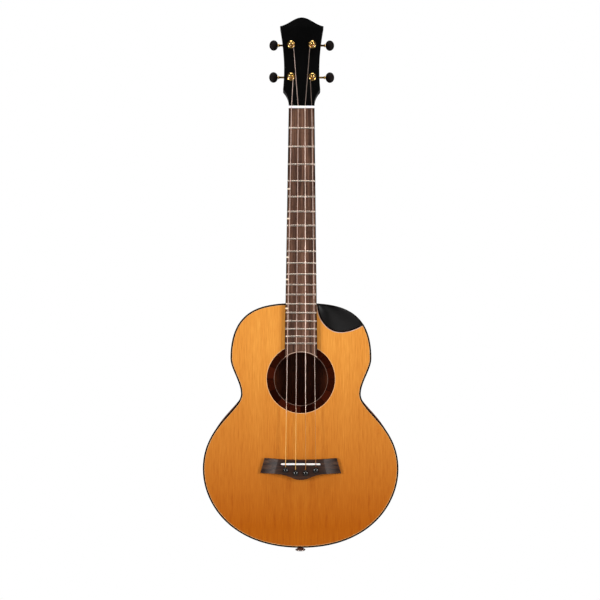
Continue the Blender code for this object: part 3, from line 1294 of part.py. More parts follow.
def make_string(index):
    """From the ball under the bridge, over saddle and nut, to one turn round the post."""
    name, diameter, row, turns = STRINGS[index]
    radius = diameter / 2
    x, pin_y = pin_place(index)
    drop_y = pin_y + string_drop(index)
    under = -TOP_THICKNESS - BRIDGE_PLATE_THICKNESS - 2 * CLEAR
    crown = saddle_top() + CLEAR + radius
    lean = SADDLE_THICKNESS / 2
    points = [Vector((x, drop_y, under - 3 * MM)), Vector((x, drop_y, BRIDGE_TOP)),
              Vector((x, drop_y + 0.3 * MM, BRIDGE_TOP + radius + CLEAR)),
              Vector((x, SADDLE_Y - lean - 0.2 * MM, crown - 0.75 * lean)),
              Vector((x, SADDLE_Y - 0.5 * lean, crown - 0.1 * lean)), Vector((x, SADDLE_Y, crown))]
    points += nut_crossing(index)[:2]
    angle, arrival = tangent_place(index)
    post_x, up = post_places()[index]
    to_face = FACE.inverted() @ HEAD
    steps = round(COIL_STEPS * ROOT_TURN / (2 * math.pi))
    for i in range(steps + 1):
        a = angle + turn_direction(index) * ROOT_TURN * i / steps
        points.append(to_face @ Vector((post_x + coil_radius(index) * math.cos(a),
                                        up + coil_radius(index) * math.sin(a),
                                        root_turn_level(index))))
    material = WOUND if index < 2 else NYLON
    wire = tube("string_" + name, points, radius, FACE, material)
    ball = rod(f"string_ball_{name}", BALL_RADIUS, (x - 1.4 * MM, drop_y, under - 3 * MM),
               (x + 1.4 * MM, drop_y, under - 3 * MM), FACE, None, 10)
    join(wire, ball)


def make_coil(index):
    """The turns that the post carries, ending through the hole in the post."""
    name, diameter, row, turns = STRINGS[index]
    radius = coil_radius(index)
    direction = turn_direction(index)
    pitch = coil_pitch(index)
    angle, arrival = tangent_place(index)
    start = angle + direction * ROOT_TURN
    end = coil_end_angle(index)
    bend = 20 / 180 * math.pi
    wound = abs(end - start) - bend
    low = root_turn_level(index) + pitch
    high = HEADPLATE_TOP + STRING_HOLE_HEIGHT
    steps = round(COIL_STEPS * wound / (2 * math.pi))
    points = []
    for i in range(steps + 1):
        a = start + direction * wound * i / steps
        points.append(Vector((radius * math.cos(a), radius * math.sin(a),
                              low + (high - low) * i / steps)))
    outward = Vector((math.cos(end), math.sin(end), 0))
    corner = outward * radius / math.cos(bend) + Vector((0, 0, high))
    inside = outward * (POST_WAIST_RADIUS - 0.4 * MM) + Vector((0, 0, high))
    last = points[-1]
    for i in range(1, 5):
        t = i / 4
        points.append(last * (1 - t) ** 2 + corner * 2 * t * (1 - t) + inside * t * t)
    points.append(Vector((0, 0, high)))
    points.append(outward * -(POST_WAIST_RADIUS + STRING_TAIL) + Vector((0, 0, high)))
    x, up = post_places()[index]
    place = HEAD @ Matrix.Translation((x, up, 0))
    tube(f"string_winding_{index + 1}", points, diameter / 2, place, WOUND if index < 2 else NYLON)
    apart = COIL_STEPS // 2
    gaps = [(p - q).length - diameter for i, p in enumerate(points[:steps]) for q in points[i + apart:steps]]
    print(f"string_winding_{index + 1}: least gap between turns {min(gaps) / MM:.2f} mm")


def main():
    make_soundboard()
    make_rosette()
    make_back()
    make_bindings()
    screw_way = make_sides()
    make_scoop_panel()
    make_blocks(screw_way)
    make_linings()
    make_braces()
    make_bridge_plate()
    make_bridge()
    make_saddle()
    make_bridge_pins()
    make_strap_button()
    make_neck()
    make_headplate()
    make_fingerboard()
    make_nut()
    make_machines()
    for index in range(len(STRINGS)):
        make_string(index)
        make_coil(index)


main()
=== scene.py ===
import math

import bmesh
import bpy
from mathutils import Matrix, Vector
from mathutils.geometry import interpolate_bezier


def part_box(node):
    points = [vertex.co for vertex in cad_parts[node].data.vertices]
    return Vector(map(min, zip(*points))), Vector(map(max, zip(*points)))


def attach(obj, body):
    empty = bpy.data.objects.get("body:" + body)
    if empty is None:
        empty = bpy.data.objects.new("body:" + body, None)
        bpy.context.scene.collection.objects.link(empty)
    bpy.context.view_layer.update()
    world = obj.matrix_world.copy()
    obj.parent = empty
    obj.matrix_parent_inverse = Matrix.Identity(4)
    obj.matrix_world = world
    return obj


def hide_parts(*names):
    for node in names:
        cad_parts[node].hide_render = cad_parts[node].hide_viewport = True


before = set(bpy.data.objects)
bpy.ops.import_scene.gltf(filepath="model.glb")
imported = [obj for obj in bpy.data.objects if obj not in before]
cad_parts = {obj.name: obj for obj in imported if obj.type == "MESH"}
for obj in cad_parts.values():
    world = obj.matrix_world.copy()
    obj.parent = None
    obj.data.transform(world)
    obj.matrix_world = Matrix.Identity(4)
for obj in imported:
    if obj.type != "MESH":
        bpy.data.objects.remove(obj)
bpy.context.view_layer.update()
print("frame loaded:", len(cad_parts), "pieces")

mm = 0.001
seam = 0.3 * mm                               # joint line that the solids keep
face = Matrix.Rotation(math.pi / 2, 4, "X")   # stands a drawing up: x treble, y up the neck, z out of the top


# Mesh helpers

def finish(name, bm, material, place=face, body="instrument", replaces=(), flats="", sharp=35):
    # flats names the axes of the drawing whose square faces stay flat shaded
    bmesh.ops.remove_doubles(bm, verts=bm.verts, dist=0.001 * mm)
    bm.normal_update()
    for f in bm.faces:
        f.smooth = all(abs(f.normal["xyz".index(axis)]) < 0.9995 for axis in flats)
    mesh = bpy.data.meshes.new(name)
    bm.to_mesh(mesh)
    bm.free()
    mesh.set_sharp_from_angle(angle=math.radians(sharp))
    mesh.transform(place)
    mesh.materials.append(material)
    piece = bpy.data.objects.new(name, mesh)
    bpy.context.scene.collection.objects.link(piece)
    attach(piece, body)
    if replaces:
        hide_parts(*replaces)
    return piece


def meshOf(obj):
    # the evaluated shape of a helper object, which is then removed
    bpy.context.view_layer.update()
    evaluated = obj.evaluated_get(bpy.context.evaluated_depsgraph_get())
    mesh = bpy.data.meshes.new_from_object(evaluated)
    bpy.data.objects.remove(obj, do_unlink=True)
    bm = bmesh.new()
    bm.from_mesh(mesh)
    bpy.data.meshes.remove(mesh)
    bmesh.ops.remove_doubles(bm, verts=bm.verts, dist=0.002 * mm)
    return bm


def helperObject(bm, name="helper"):
    mesh = bpy.data.meshes.new(name)
    bm.to_mesh(mesh)
    bm.free()
    obj = bpy.data.objects.new(name, mesh)
    bpy.context.scene.collection.objects.link(obj)
    return obj


def carve(bm, *cutters):
    base = helperObject(bm)
    tools = [helperObject(cutter, "cutter") for cutter in cutters]
    for tool in tools:
        change = base.modifiers.new("carve", "BOOLEAN")
        change.operation = "DIFFERENCE"
        change.solver = "EXACT"
        change.object = tool
    result = meshOf(base)
    for tool in tools:
        bpy.data.objects.remove(tool, do_unlink=True)
    return result


def gather(*parts):
    # several shapes, each with its own placing, in one mesh
    whole = bmesh.new()
    for bm, place in parts:
        mesh = bpy.data.meshes.new("part")
        bm.to_mesh(mesh)
        bm.free()
        mesh.transform(place)
        whole.from_mesh(mesh)
        bpy.data.meshes.remove(mesh)
    return whole


def soften(bm, width, segments=3, angle=50, only=None):
    edges = [e for e in bm.edges if len(e.link_faces) == 2 and e.calc_face_angle(0) > math.radians(angle)
             and (only is None or only(e))]
    bmesh.ops.bevel(bm, geom=edges, offset=width, offset_type="OFFSET", affect="EDGES",
                    segments=segments, profile=0.5, material=-1, clamp_overlap=True)
    return bm


def plate(loops, low, high, edge=0.0, segments=3, only=None):
    # a flat outline with holes, given its thickness and rounded rims
    curve = bpy.data.curves.new("outline", "CURVE")
    curve.dimensions = "2D"
    curve.fill_mode = "BOTH"
    curve.extrude = (high - low) / 2
    for loop in loops:
        spline = curve.splines.new("POLY")
        spline.points.add(len(loop) - 1)
        for point, (x, y) in zip(spline.points, loop):
            point.co = (x, y, 0, 1)
        spline.use_cyclic_u = True
    holder = bpy.data.objects.new("outline", curve)
    bpy.context.scene.collection.objects.link(holder)
    bm = meshOf(holder)
    bmesh.ops.translate(bm, verts=bm.verts, vec=(0, 0, (low + high) / 2))
    if edge:
        soften(bm, edge, segments, only=only)
    return bm


def frontRim(edge):
    # an edge between a plate's front and its wall
    normals = [f.normal.z for f in edge.link_faces]
    return max(normals) > 0.99 and min(normals) < 0.9


def turned(profile, steps=48, edge=0.0):
    # (radius, height) points spun about z
    bm = bmesh.new()
    verts = [bm.verts.new((radius, 0, height)) for radius, height in profile]
    edges = [bm.edges.new(pair) for pair in zip(verts, verts[1:])]
    bmesh.ops.spin(bm, geom=verts + edges, axis=(0, 0, 1), cent=(0, 0, 0), angle=2 * math.pi,
                   steps=steps, use_merge=True)
    bmesh.ops.remove_doubles(bm, verts=bm.verts, dist=0.001 * mm)
    bmesh.ops.recalc_face_normals(bm, faces=bm.faces)
    if edge:
        soften(bm, edge, 2, 40)
    return bm


def skin(rows, closed=False):
    # bridges a row of point chains into one surface, and closes its open ends
    bm = bmesh.new()
    chains = []
    for row in rows:
        verts = [bm.verts.new(point) for point in row]
        edges = [bm.edges.new(pair) for pair in zip(verts, verts[1:])]
        if closed:
            edges.append(bm.edges.new((verts[-1], verts[0])))
        chains.append(edges)
    for chain, following in zip(chains, chains[1:]):
        bmesh.ops.bridge_loops(bm, edges=chain + following)
    return bm


def closeUp(bm):
    bmesh.ops.remove_doubles(bm, verts=bm.verts, dist=0.001 * mm)
    bmesh.ops.holes_fill(bm, edges=[e for e in bm.edges if e.is_boundary], sides=0)
    bmesh.ops.recalc_face_normals(bm, faces=bm.faces)
    return bm


def rod(radius, start, end, steps=24):
    axis = Vector(end) - Vector(start)
    place = Matrix.Translation((Vector(start) + Vector(end)) / 2) @ axis.to_track_quat("Z", "Y").to_matrix().to_4x4()
    bm = bmesh.new()
    bmesh.ops.create_cone(bm, cap_ends=True, segments=steps, radius1=radius, radius2=radius,
                          depth=axis.length, matrix=place)
    return bm


def box(low, high):
    size = [b - a for a, b in zip(low, high)]
    middle = [(a + b) / 2 for a, b in zip(low, high)]
    bm = bmesh.new()
    bmesh.ops.create_cube(bm, size=1, matrix=Matrix.Translation(middle) @ Matrix.Diagonal((*size, 1)))
    return bm


def circle(x, y, radius, steps=128):
    return [(x + radius * math.cos(2 * math.pi * i / steps), y + radius * math.sin(2 * math.pi * i / steps))
            for i in range(steps)]


def wire(points, radius, reach):
    # a round wire along a route whose corners are eased over the given reach
    eased = [Vector(points[0])]
    for before, corner, after in zip(points, points[1:], points[2:]):
        before, corner, after = Vector(before), Vector(corner), Vector(after)
        first = corner + (before - corner).normalized() * min(reach, 0.45 * (before - corner).length)
        last = corner + (after - corner).normalized() * min(reach, 0.45 * (after - corner).length)
        eased += [first * (1 - t) ** 2 + corner * 2 * t * (1 - t) + last * t * t for t in (0, 0.25, 0.5, 0.75, 1)]
    eased.append(Vector(points[-1]))
    curve = bpy.data.curves.new("wire", "CURVE")
    curve.dimensions = "3D"
    curve.bevel_depth = radius
    curve.bevel_resolution = 5
    curve.use_fill_caps = True
    spline = curve.splines.new("POLY")
    spline.points.add(len(eased) - 1)
    for point, place in zip(spline.points, eased):
        point.co = (*place, 1)
    holder = bpy.data.objects.new("wire", curve)
    bpy.context.scene.collection.objects.link(holder)
    return meshOf(holder)


# Material helpers

def hexColour(code):
    parts = [int(code[i:i + 2], 16) / 255 for i in (1, 3, 5)]
    return [c / 12.92 if c <= 0.04045 else ((c + 0.055) / 1.055) ** 2.4 for c in parts] + [1]


def addNode(tree, kind, settings={}, links={}):
    node = tree.nodes.new(kind)
    for key, value in settings.items():
        if key == "ramp":
            stops = node.color_ramp.elements
            stops[0].position, stops[1].position = value[0][0], value[-1][0]
            for position, code in value[1:-1]:
                stops.new(position)
            for stop, (position, code) in zip(stops, value):
                stop.color = hexColour(code)
        elif isinstance(key, int) or key in node.inputs:
            node.inputs[key].default_value = value
        else:
            setattr(node, key, value)
    for key, source in links.items():
        tree.links.new(source, node.inputs[key])
    return node


def newMaterial(name, slot, settings):
    material = bpy.data.materials.new(name)
    material.use_nodes = True
    material["slot"] = slot
    shader = material.node_tree.nodes["Principled BSDF"]
    for key, value in settings.items():
        shader.inputs[key].default_value = value
    return material, material.node_tree, shader


def stretched(along, width, length):
    # scale of a pattern that is drawn out along one axis
    return [1 / (length if axis == along else width) for axis in "XYZ"]


def grainedWood(name, slot, look):
    material, tree, shader = newMaterial(name, slot, look["shader"])
    place = addNode(tree, "ShaderNodeTexCoord").outputs["Object"]
    parts = addNode(tree, "ShaderNodeSeparateXYZ", links={"Vector": place})
    if look.get("bookmatched"):
        half = addNode(tree, "ShaderNodeMath", {"operation": "ABSOLUTE"}, {0: parts.outputs["X"]})
        place = addNode(tree, "ShaderNodeCombineXYZ", links={
            "X": half.outputs[0], "Y": parts.outputs["Y"], "Z": parts.outputs["Z"]}).outputs[0]
    along = look["along"]
    lineMap = addNode(tree, "ShaderNodeMapping", {"Scale": stretched(along, *look["lines"])}, {"Vector": place})
    lines = addNode(tree, "ShaderNodeTexNoise", {"Scale": 1.0, "Detail": 4.0, "Roughness": 0.62},
                    {"Vector": lineMap.outputs[0]})
    streakMap = addNode(tree, "ShaderNodeMapping", {
        "Scale": stretched(along, *look["streaks"]), "Location": (3.1, 1.7, 5.3)}, {"Vector": place})
    streaks = addNode(tree, "ShaderNodeTexNoise", {"Scale": 1.0, "Detail": 3.0, "Roughness": 0.5, "Distortion": 0.4},
                      {"Vector": streakMap.outputs[0]})
    share = look["streakShare"]
    fine = addNode(tree, "ShaderNodeMath", {"operation": "MULTIPLY", 1: 1 - share}, {0: lines.outputs[0]})
    tone = addNode(tree, "ShaderNodeMath", {"operation": "MULTIPLY_ADD", 1: share},
                   {0: streaks.outputs[0], 2: fine.outputs[0]})
    colour = addNode(tree, "ShaderNodeValToRGB", {"ramp": look["tones"]}, {"Fac": tone.outputs[0]}).outputs[0]
    if "pores" in look:
        poreMap = addNode(tree, "ShaderNodeMapping", {"Scale": stretched(along, *look["pores"])}, {"Vector": place})
        pores = addNode(tree, "ShaderNodeTexNoise", {"Scale": 1.0, "Detail": 1.0}, {"Vector": poreMap.outputs[0]})
        open_ = addNode(tree, "ShaderNodeMapRange", {
            "From Min": 0.60, "From Max": 0.68, "To Min": 0.0, "To Max": look["poreDepth"]},
            {"Value": pores.outputs[0]})
        colour = addNode(tree, "ShaderNodeMix", {"data_type": "RGBA", 7: hexColour(look["poreTone"])},
                         {0: open_.outputs[0], 6: colour}).outputs[2]
    if "shade" in look:
        # the colour darkens between two heights; on the cedar this is partly painted shade
        upper, lower, tint = look["shade"]
        fall = addNode(tree, "ShaderNodeMapRange", {"From Min": upper, "From Max": lower},
                       {"Value": parts.outputs["Z"]})
        tinted = addNode(tree, "ShaderNodeMix", {"data_type": "RGBA", "blend_type": "MULTIPLY", 0: 1.0,
                                                 7: hexColour(tint)}, {6: colour})
        colour = addNode(tree, "ShaderNodeMix", {"data_type": "RGBA"},
                         {0: fall.outputs[0], 6: colour, 7: tinted.outputs[2]}).outputs[2]
    tree.links.new(colour, shader.inputs["Base Color"])
    bump = addNode(tree, "ShaderNodeBump", {"Strength": look["bump"], "Distance": 0.1 * mm},
                   {"Height": tone.outputs[0]})
    tree.links.new(bump.outputs[0], shader.inputs["Normal"])
    return material


def mottled(name, slot, look):
    # a plain finish whose tone and polish drift a little, as hands and tools leave it
    material, tree, shader = newMaterial(name, slot, look["shader"])
    place = addNode(tree, "ShaderNodeTexCoord").outputs["Object"]
    clouds = addNode(tree, "ShaderNodeTexNoise", {"Scale": 1 / look["patch"], "Detail": 3.0}, {"Vector": place})
    colour = addNode(tree, "ShaderNodeValToRGB", {"ramp": look["tones"]}, {"Fac": clouds.outputs[0]})
    tree.links.new(colour.outputs[0], shader.inputs["Base Color"])
    fine = addNode(tree, "ShaderNodeTexNoise", {"Scale": 1 / look["texture"], "Detail": 2.0}, {"Vector": place})
    low, high = look["roughness"]
    rough = addNode(tree, "ShaderNodeMapRange", {"From Min": 0.3, "From Max": 0.7, "To Min": low, "To Max": high},
                    {"Value": fine.outputs[0]})
    tree.links.new(rough.outputs[0], shader.inputs["Roughness"])
    if look.get("bump"):
        bump = addNode(tree, "ShaderNodeBump", {"Strength": look["bump"], "Distance": 0.05 * mm},
                       {"Height": fine.outputs[0]})
        tree.links.new(bump.outputs[0], shader.inputs["Normal"])
    return material


# Materials

topLow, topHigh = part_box("top_binding")

# Western red cedar, quartersawn and bookmatched under gloss lacquer: close straight lines, warm orange.
# Its growth rings are near 1 mm apart; they are drawn at 2.4 mm, which is what shows at this distance.
cedar = grainedWood("lacqueredCedar", "cedar", {
    "shader": {"Roughness": 0.3, "Specular IOR Level": 0.1, "Coat Weight": 0.8, "Coat Roughness": 0.08},
    "along": "Z", "bookmatched": True, "lines": (1.6 * mm, 24 * mm), "streaks": (11 * mm, 420 * mm),
    "streakShare": 0.3, "bump": 0.03,
    "tones": [(0.30, "#d27c2d"), (0.44, "#e6943c"), (0.56, "#ee9e43"), (0.70, "#f8ae50")],
    # darker towards the tail: partly the cedar's own tone, partly painted shade of the light falling off lower down
    "shade": (topHigh.z - 60 * mm, topLow.z + 30 * mm, "#c7a050"),
})

# Honduran mahogany, gloss lacquer over filled grain: even red brown with short dark pores.
mahoganyLook = {
    "shader": {"Roughness": 0.4, "Specular IOR Level": 0.2, "Coat Weight": 0.15, "Coat Roughness": 0.12},
    "along": "Z", "lines": (1.6 * mm, 120 * mm), "streaks": (16 * mm, 260 * mm),
    "streakShare": 0.55, "bump": 0.05,
    "tones": [(0.30, "#552414"), (0.46, "#70361e"), (0.58, "#874426"), (0.74, "#9d5632")],
    "pores": (0.5 * mm, 7 * mm), "poreDepth": 0.55, "poreTone": "#2a110a",
}
mahogany = grainedWood("lacqueredMahogany", "mahogany", {**mahoganyLook, "bookmatched": True})
# The bent sides' grain runs round the body, so only its depth is drawn fine.
mahoganySide = grainedWood("bentMahogany", "mahogany", {
    **mahoganyLook, "shader": {"Roughness": 0.55, "Specular IOR Level": 0.06},
    "along": "Y", "lines": (120 * mm, 1.6 * mm), "streaks": (260 * mm, 16 * mm), "pores": (7 * mm, 0.5 * mm)})
# The neck is rubbed to satin for the hand, so that its lacquer hardly shines.
mahoganyNeck = grainedWood("satinMahogany", "mahogany", {
    **mahoganyLook, "shader": {"Roughness": 0.5, "Specular IOR Level": 0.05}})

# Sitka spruce braces, left bare: pale, with wide soft rings and a matt planed face.
spruce = grainedWood("bareSpruce", "spruce", {
    "shader": {"Roughness": 0.7}, "along": "Z", "lines": (2.0 * mm, 90 * mm), "streaks": (9 * mm, 200 * mm),
    "streakShare": 0.35, "bump": 0.1,
    "tones": [(0.32, "#b98f5f"), (0.5, "#cfa873"), (0.7, "#dcbb8a")],
})

# Indian rosewood, oiled: brown with purple-brown and nearly black stripes, open pores, a low sheen.
rosewoodLook = {
    "shader": {"Roughness": 0.5, "Specular IOR Level": 0.25}, "along": "Z", "lines": (1.5 * mm, 60 * mm),
    "streaks": (5.5 * mm, 110 * mm), "streakShare": 0.6, "bump": 0.25,
    "tones": [(0.34, "#2e1a12"), (0.45, "#4d3225"), (0.54, "#6a4938"), (0.66, "#8a634e")],
    "pores": (0.6 * mm, 6 * mm), "poreDepth": 0.6, "poreTone": "#1c100d",
}
boardRosewood = grainedWood("oiledRosewood", "rosewood", rosewoodLook)
bridgeRosewood = grainedWood("bridgeRosewood", "rosewood", {
    **rosewoodLook, "shader": {"Roughness": 0.45, "Specular IOR Level": 0.34}, "bump": 0.15,
    "along": "X", "lines": (1.3 * mm, 45 * mm), "streaks": (4.5 * mm, 70 * mm),
    "tones": [(0.34, "#190b06"), (0.46, "#2f190f"), (0.56, "#42281a"), (0.68, "#604433")]})

# Celluloid binding, scraped flush and buffed: black, with a soft shine.
blackBinding = mottled("celluloidBinding", "black_binding", {
    "shader": {"Specular IOR Level": 0.12}, "patch": 40 * mm, "texture": 2 * mm,
    "roughness": (0.3, 0.4), "tones": [(0.35, "#080403"), (0.65, "#100907")],
})

# Maple purfling under amber lacquer: a pale line that sets the black binding off from the top.
mapleLine = mottled("maplePurfling", "cedar", {
    "shader": {"Coat Weight": 0.3, "Coat Roughness": 0.12}, "patch": 15 * mm, "texture": 0.8 * mm,
    "roughness": (0.35, 0.45), "tones": [(0.35, "#d99a5c"), (0.65, "#eab57c")],
})

# The rosette's outer line is dyed maple. The grey ring round the hole's edge is a painted highlight of the hole's lit
# rim.
peachLine = mottled("dyedMaple", "cedar", {
    "shader": {"Coat Weight": 0.3, "Coat Roughness": 0.12}, "patch": 15 * mm, "texture": 0.8 * mm,
    "roughness": (0.35, 0.45), "tones": [(0.35, "#f0b077"), (0.65, "#fac48e")],
})
# A pale pink strip: beside the scoop's binding it is a painted highlight, and it also closes the board's end.
palePinkLine = mottled("palePinkStrip", "bone", {
    "shader": {}, "patch": 12 * mm, "texture": 0.8 * mm, "roughness": (0.35, 0.45),
    "tones": [(0.35, "#d3a78e"), (0.65, "#e8c4ae")],
})
greyLine = mottled("paintedRimHighlight", "cedar", {
    "shader": {"Coat Weight": 0.3, "Coat Roughness": 0.12}, "patch": 12 * mm, "texture": 0.8 * mm,
    "roughness": (0.35, 0.45), "tones": [(0.35, "#725a4d"), (0.65, "#95796a")],
})

# Polyester lacquer on the headstock, rubbed to a mirror: deep black.
pianoLacquer = mottled("mirrorBlackLacquer", "black_lacquer", {
    "shader": {"Coat Weight": 0.6, "Coat Roughness": 0.04}, "patch": 60 * mm, "texture": 6 * mm,
    "roughness": (0.08, 0.13), "tones": [(0.35, "#050505"), (0.65, "#090909")],
})

# The same lacquer on the headstock's flanks and back, where the buffing wheel only touched it.
headLacquer = mottled("blackLacquer", "black_lacquer", {
    "shader": {"Specular IOR Level": 0.06}, "patch": 40 * mm, "texture": 3 * mm,
    "roughness": (0.25, 0.32), "tones": [(0.35, "#060505"), (0.65, "#0b0a0a")],
})

# Satin lacquer in the scoop, sprayed over black stain and not buffed: charcoal.
satinLacquer = mottled("satinBlackLacquer", "scoop_black", {
    "shader": {"Specular IOR Level": 0.18}, "patch": 30 * mm, "texture": 0.6 * mm, "roughness": (0.5, 0.6),
    "bump": 0.05, "tones": [(0.35, "#0c0b0b"), (0.65, "#141212")],
})

# Bleached bone for nut and saddle, filed and polished: warm white, faintly waxy.
bone = mottled("polishedBone", "bone", {
    "shader": {"Subsurface Weight": 0.15, "Subsurface Scale": 1.5 * mm}, "patch": 9 * mm, "texture": 0.5 * mm,
    "roughness": (0.28, 0.4), "tones": [(0.35, "#fbf7f0"), (0.65, "#ffffff")],
})

# Gold plate over brass, barrel polished: warm yellow, with fine handling marks in its shine.
gold = mottled("goldPlate", "gold_plate", {
    "shader": {"Metallic": 1.0}, "patch": 6 * mm, "texture": 0.4 * mm, "roughness": (0.2, 0.27), "bump": 0.02,
    "tones": [(0.35, "#f6be5a"), (0.65, "#ffd68a")],
})

# Nickelled steel strap button, brushed by years of use: soft shine, slightly warm.
chrome = mottled("wornNickel", "chrome", {
    "shader": {"Metallic": 1.0}, "patch": 8 * mm, "texture": 0.5 * mm, "roughness": (0.26, 0.36),
    "tones": [(0.35, "#e6cfc4"), (0.65, "#f8e6de")],
})

# Nickel silver fret wire, dressed and polished along the board: pale, slightly warm.
nickelSilver = mottled("nickelSilver", "chrome", {
    "shader": {"Metallic": 1.0}, "patch": 5 * mm, "texture": 0.3 * mm, "roughness": (0.24, 0.3), "bump": 0.02,
    "tones": [(0.35, "#ecdac9"), (0.65, "#fff0df")],
})

# Moulded ABS bridge pins, polished: black, with sharp highlights.
glossPlastic = mottled("glossBlackAbs", "black_plastic", {
    "shader": {"Coat Weight": 1.0, "Coat Roughness": 0.05}, "patch": 7 * mm, "texture": 1 * mm,
    "roughness": (0.1, 0.16), "tones": [(0.35, "#060505"), (0.65, "#0d0b0a")],
})

# Turned ebony tuner buttons, oiled and not buffed: brown black, with no highlight.
ebony = mottled("oiledEbony", "black_plastic", {
    "shader": {"Specular IOR Level": 0.12}, "patch": 5 * mm, "texture": 0.7 * mm, "roughness": (0.55, 0.65),
    "bump": 0.1, "tones": [(0.35, "#0f0908"), (0.65, "#18100e")],
})

# Cream celluloid side markers.
creamMarker = mottled("creamCelluloid", "bone", {
    "shader": {}, "patch": 3 * mm, "texture": 0.4 * mm, "roughness": (0.3, 0.4),
    "tones": [(0.35, "#ffe6c6"), (0.65, "#fff2de")],
})

def stringMaterial(name, slot, look):
    # a string's painted tone changes where it leaves the soundhole for the cedar: below that, the lit cedar is painted
    # into its colour, as reflection on wound strings and as see-through on nylon
    material, tree, shader = newMaterial(name, slot, look["shader"])
    place = addNode(tree, "ShaderNodeTexCoord").outputs["Object"]
    parts = addNode(tree, "ShaderNodeSeparateXYZ", links={"Vector": place})
    start, stop = look["change"]
    along = addNode(tree, "ShaderNodeMapRange", {"From Min": start, "From Max": stop}, {"Value": parts.outputs["Z"]})
    if "turnPitch" in look:
        pattern = addNode(tree, "ShaderNodeTexWave", {"wave_type": "BANDS", "bands_direction": "Z",
                          "Scale": math.pi / 10 / look["turnPitch"]}, {"Vector": place}).outputs[1]
        bump = addNode(tree, "ShaderNodeBump", {"Strength": 0.5, "Distance": 0.08 * mm}, {"Height": pattern})
        tree.links.new(bump.outputs[0], shader.inputs["Normal"])
    else:
        pattern = addNode(tree, "ShaderNodeTexNoise", {"Scale": 1 / (30 * mm), "Detail": 3.0},
                          {"Vector": place}).outputs[0]
    upper = addNode(tree, "ShaderNodeValToRGB", {"ramp": look["overBoard"]}, {"Fac": pattern})
    lower = addNode(tree, "ShaderNodeValToRGB", {"ramp": look["overTop"]}, {"Fac": pattern})
    colour = addNode(tree, "ShaderNodeMix", {"data_type": "RGBA"},
                     {0: along.outputs[0], 6: lower.outputs[0], 7: upper.outputs[0]})
    tree.links.new(colour.outputs[2], shader.inputs["Base Color"])
    low, high = look["metallic"]
    shine = addNode(tree, "ShaderNodeMapRange", {"To Min": low, "To Max": high}, {"Value": along.outputs[0]})
    tree.links.new(shine.outputs[0], shader.inputs["Metallic"])
    return material


# Copper wire wound on a nylon core, pinkish cream. Over the cedar its colour is painted golden and less metallic: a
# painted reflection of the lit cedar below it.
# The wire is 0.15 mm thick; its turns are drawn at 0.5 mm so that they show.
wound = stringMaterial("woundCopper", "wound_string", {
    "shader": {"Roughness": 0.55}, "turnPitch": 0.5 * mm, "change": (-425 * mm, -405 * mm),
    "metallic": (0.35, 1.0),
    "overBoard": [(0.1, "#dcb7a8"), (0.6, "#ffe9de")], "overTop": [(0.1, "#fbb458"), (0.6, "#ffcf7c")],
})

# Clear nylon treble string, drawn smooth: over the dark board it is painted pale and nearly metallic, a painted
# highlight for the lamps that glance off it, and over the top its colour is painted cedar orange, for the cedar seen
# through it.
nylonLook = {
    "shader": {"Roughness": 0.34}, "change": (-420 * mm, -410 * mm), "metallic": (0.3, 0.9),
    "overBoard": [(0.35, "#eccfc0"), (0.65, "#fbe4d6")], "overTop": [(0.35, "#bf7a38"), (0.65, "#cf8a42")],
}
nylon = stringMaterial("polishedNylon", "nylon", nylonLook)
# On the posts the windings are painted gold: a painted reflection of the gold posts and bushings round them.
postWindings = mottled("windingOnGold", "wound_string", {
    "shader": {"Metallic": 1.0}, "patch": 3 * mm, "texture": 0.5 * mm, "roughness": (0.4, 0.5), "bump": 0.1,
    "tones": [(0.35, "#c08a3c"), (0.65, "#e6b768")],
})
# The thinnest string's painted highlight over the board is dimmer.
thinNylon = stringMaterial("clearNylon", "nylon", {
    **nylonLook, "shader": {"Roughness": 0.34}, "metallic": (0.3, 0.8),
    "overBoard": [(0.35, "#c9ada0"), (0.65, "#dcc4b6")]})


def rosetteMaterial(centreZ, segments=16):
    # Rosewood ring of mitred segments under lacquer: each segment has its own red-brown, with dark joints.
    material, tree, shader = newMaterial("segmentedRosewood", "rosette_wood", {
        "Roughness": 0.4, "Specular IOR Level": 0.02, "Coat Weight": 0.03, "Coat Roughness": 0.06})
    place = addNode(tree, "ShaderNodeTexCoord").outputs["Object"]
    centred = addNode(tree, "ShaderNodeMapping", {
        "vector_type": "POINT", "Location": (0, centreZ, 0), "Rotation": (-math.pi / 2, 0, 0)}, {"Vector": place})
    turn = addNode(tree, "ShaderNodeTexGradient", {"gradient_type": "RADIAL"}, {"Vector": centred.outputs[0]})
    count = addNode(tree, "ShaderNodeMath", {"operation": "MULTIPLY", 1: segments}, {0: turn.outputs[1]})
    number = addNode(tree, "ShaderNodeMath", {"operation": "FLOOR"}, {0: count.outputs[0]})
    within = addNode(tree, "ShaderNodeMath", {"operation": "PINGPONG", 1: 0.5}, {0: count.outputs[0]})
    chance = addNode(tree, "ShaderNodeTexWhiteNoise", {"noise_dimensions": "1D"}, {"W": number.outputs[0]})
    grain = addNode(tree, "ShaderNodeTexNoise", {"Scale": 1 / (1.2 * mm), "Detail": 3.0}, {"Vector": place})
    tone = addNode(tree, "ShaderNodeMath", {"operation": "MULTIPLY_ADD", 1: 0.5},
                   {0: chance.outputs[0], 2: grain.outputs[0]})
    colour = addNode(tree, "ShaderNodeValToRGB", {"ramp": [
        (0.35, "#120200"), (0.7, "#230701"), (1.05, "#401407")]}, {"Fac": tone.outputs[0]})
    joint = addNode(tree, "ShaderNodeMapRange", {"From Min": 0.01, "From Max": 0.05, "To Min": 0.95, "To Max": 0.0},
                    {"Value": within.outputs[0]})
    jointed = addNode(tree, "ShaderNodeMix", {"data_type": "RGBA", 7: hexColour("#120402")},
                      {0: joint.outputs[0], 6: colour.outputs[0]})
    tree.links.new(jointed.outputs[2], shader.inputs["Base Color"])
    return material


print("materials made")

# Outline of the body

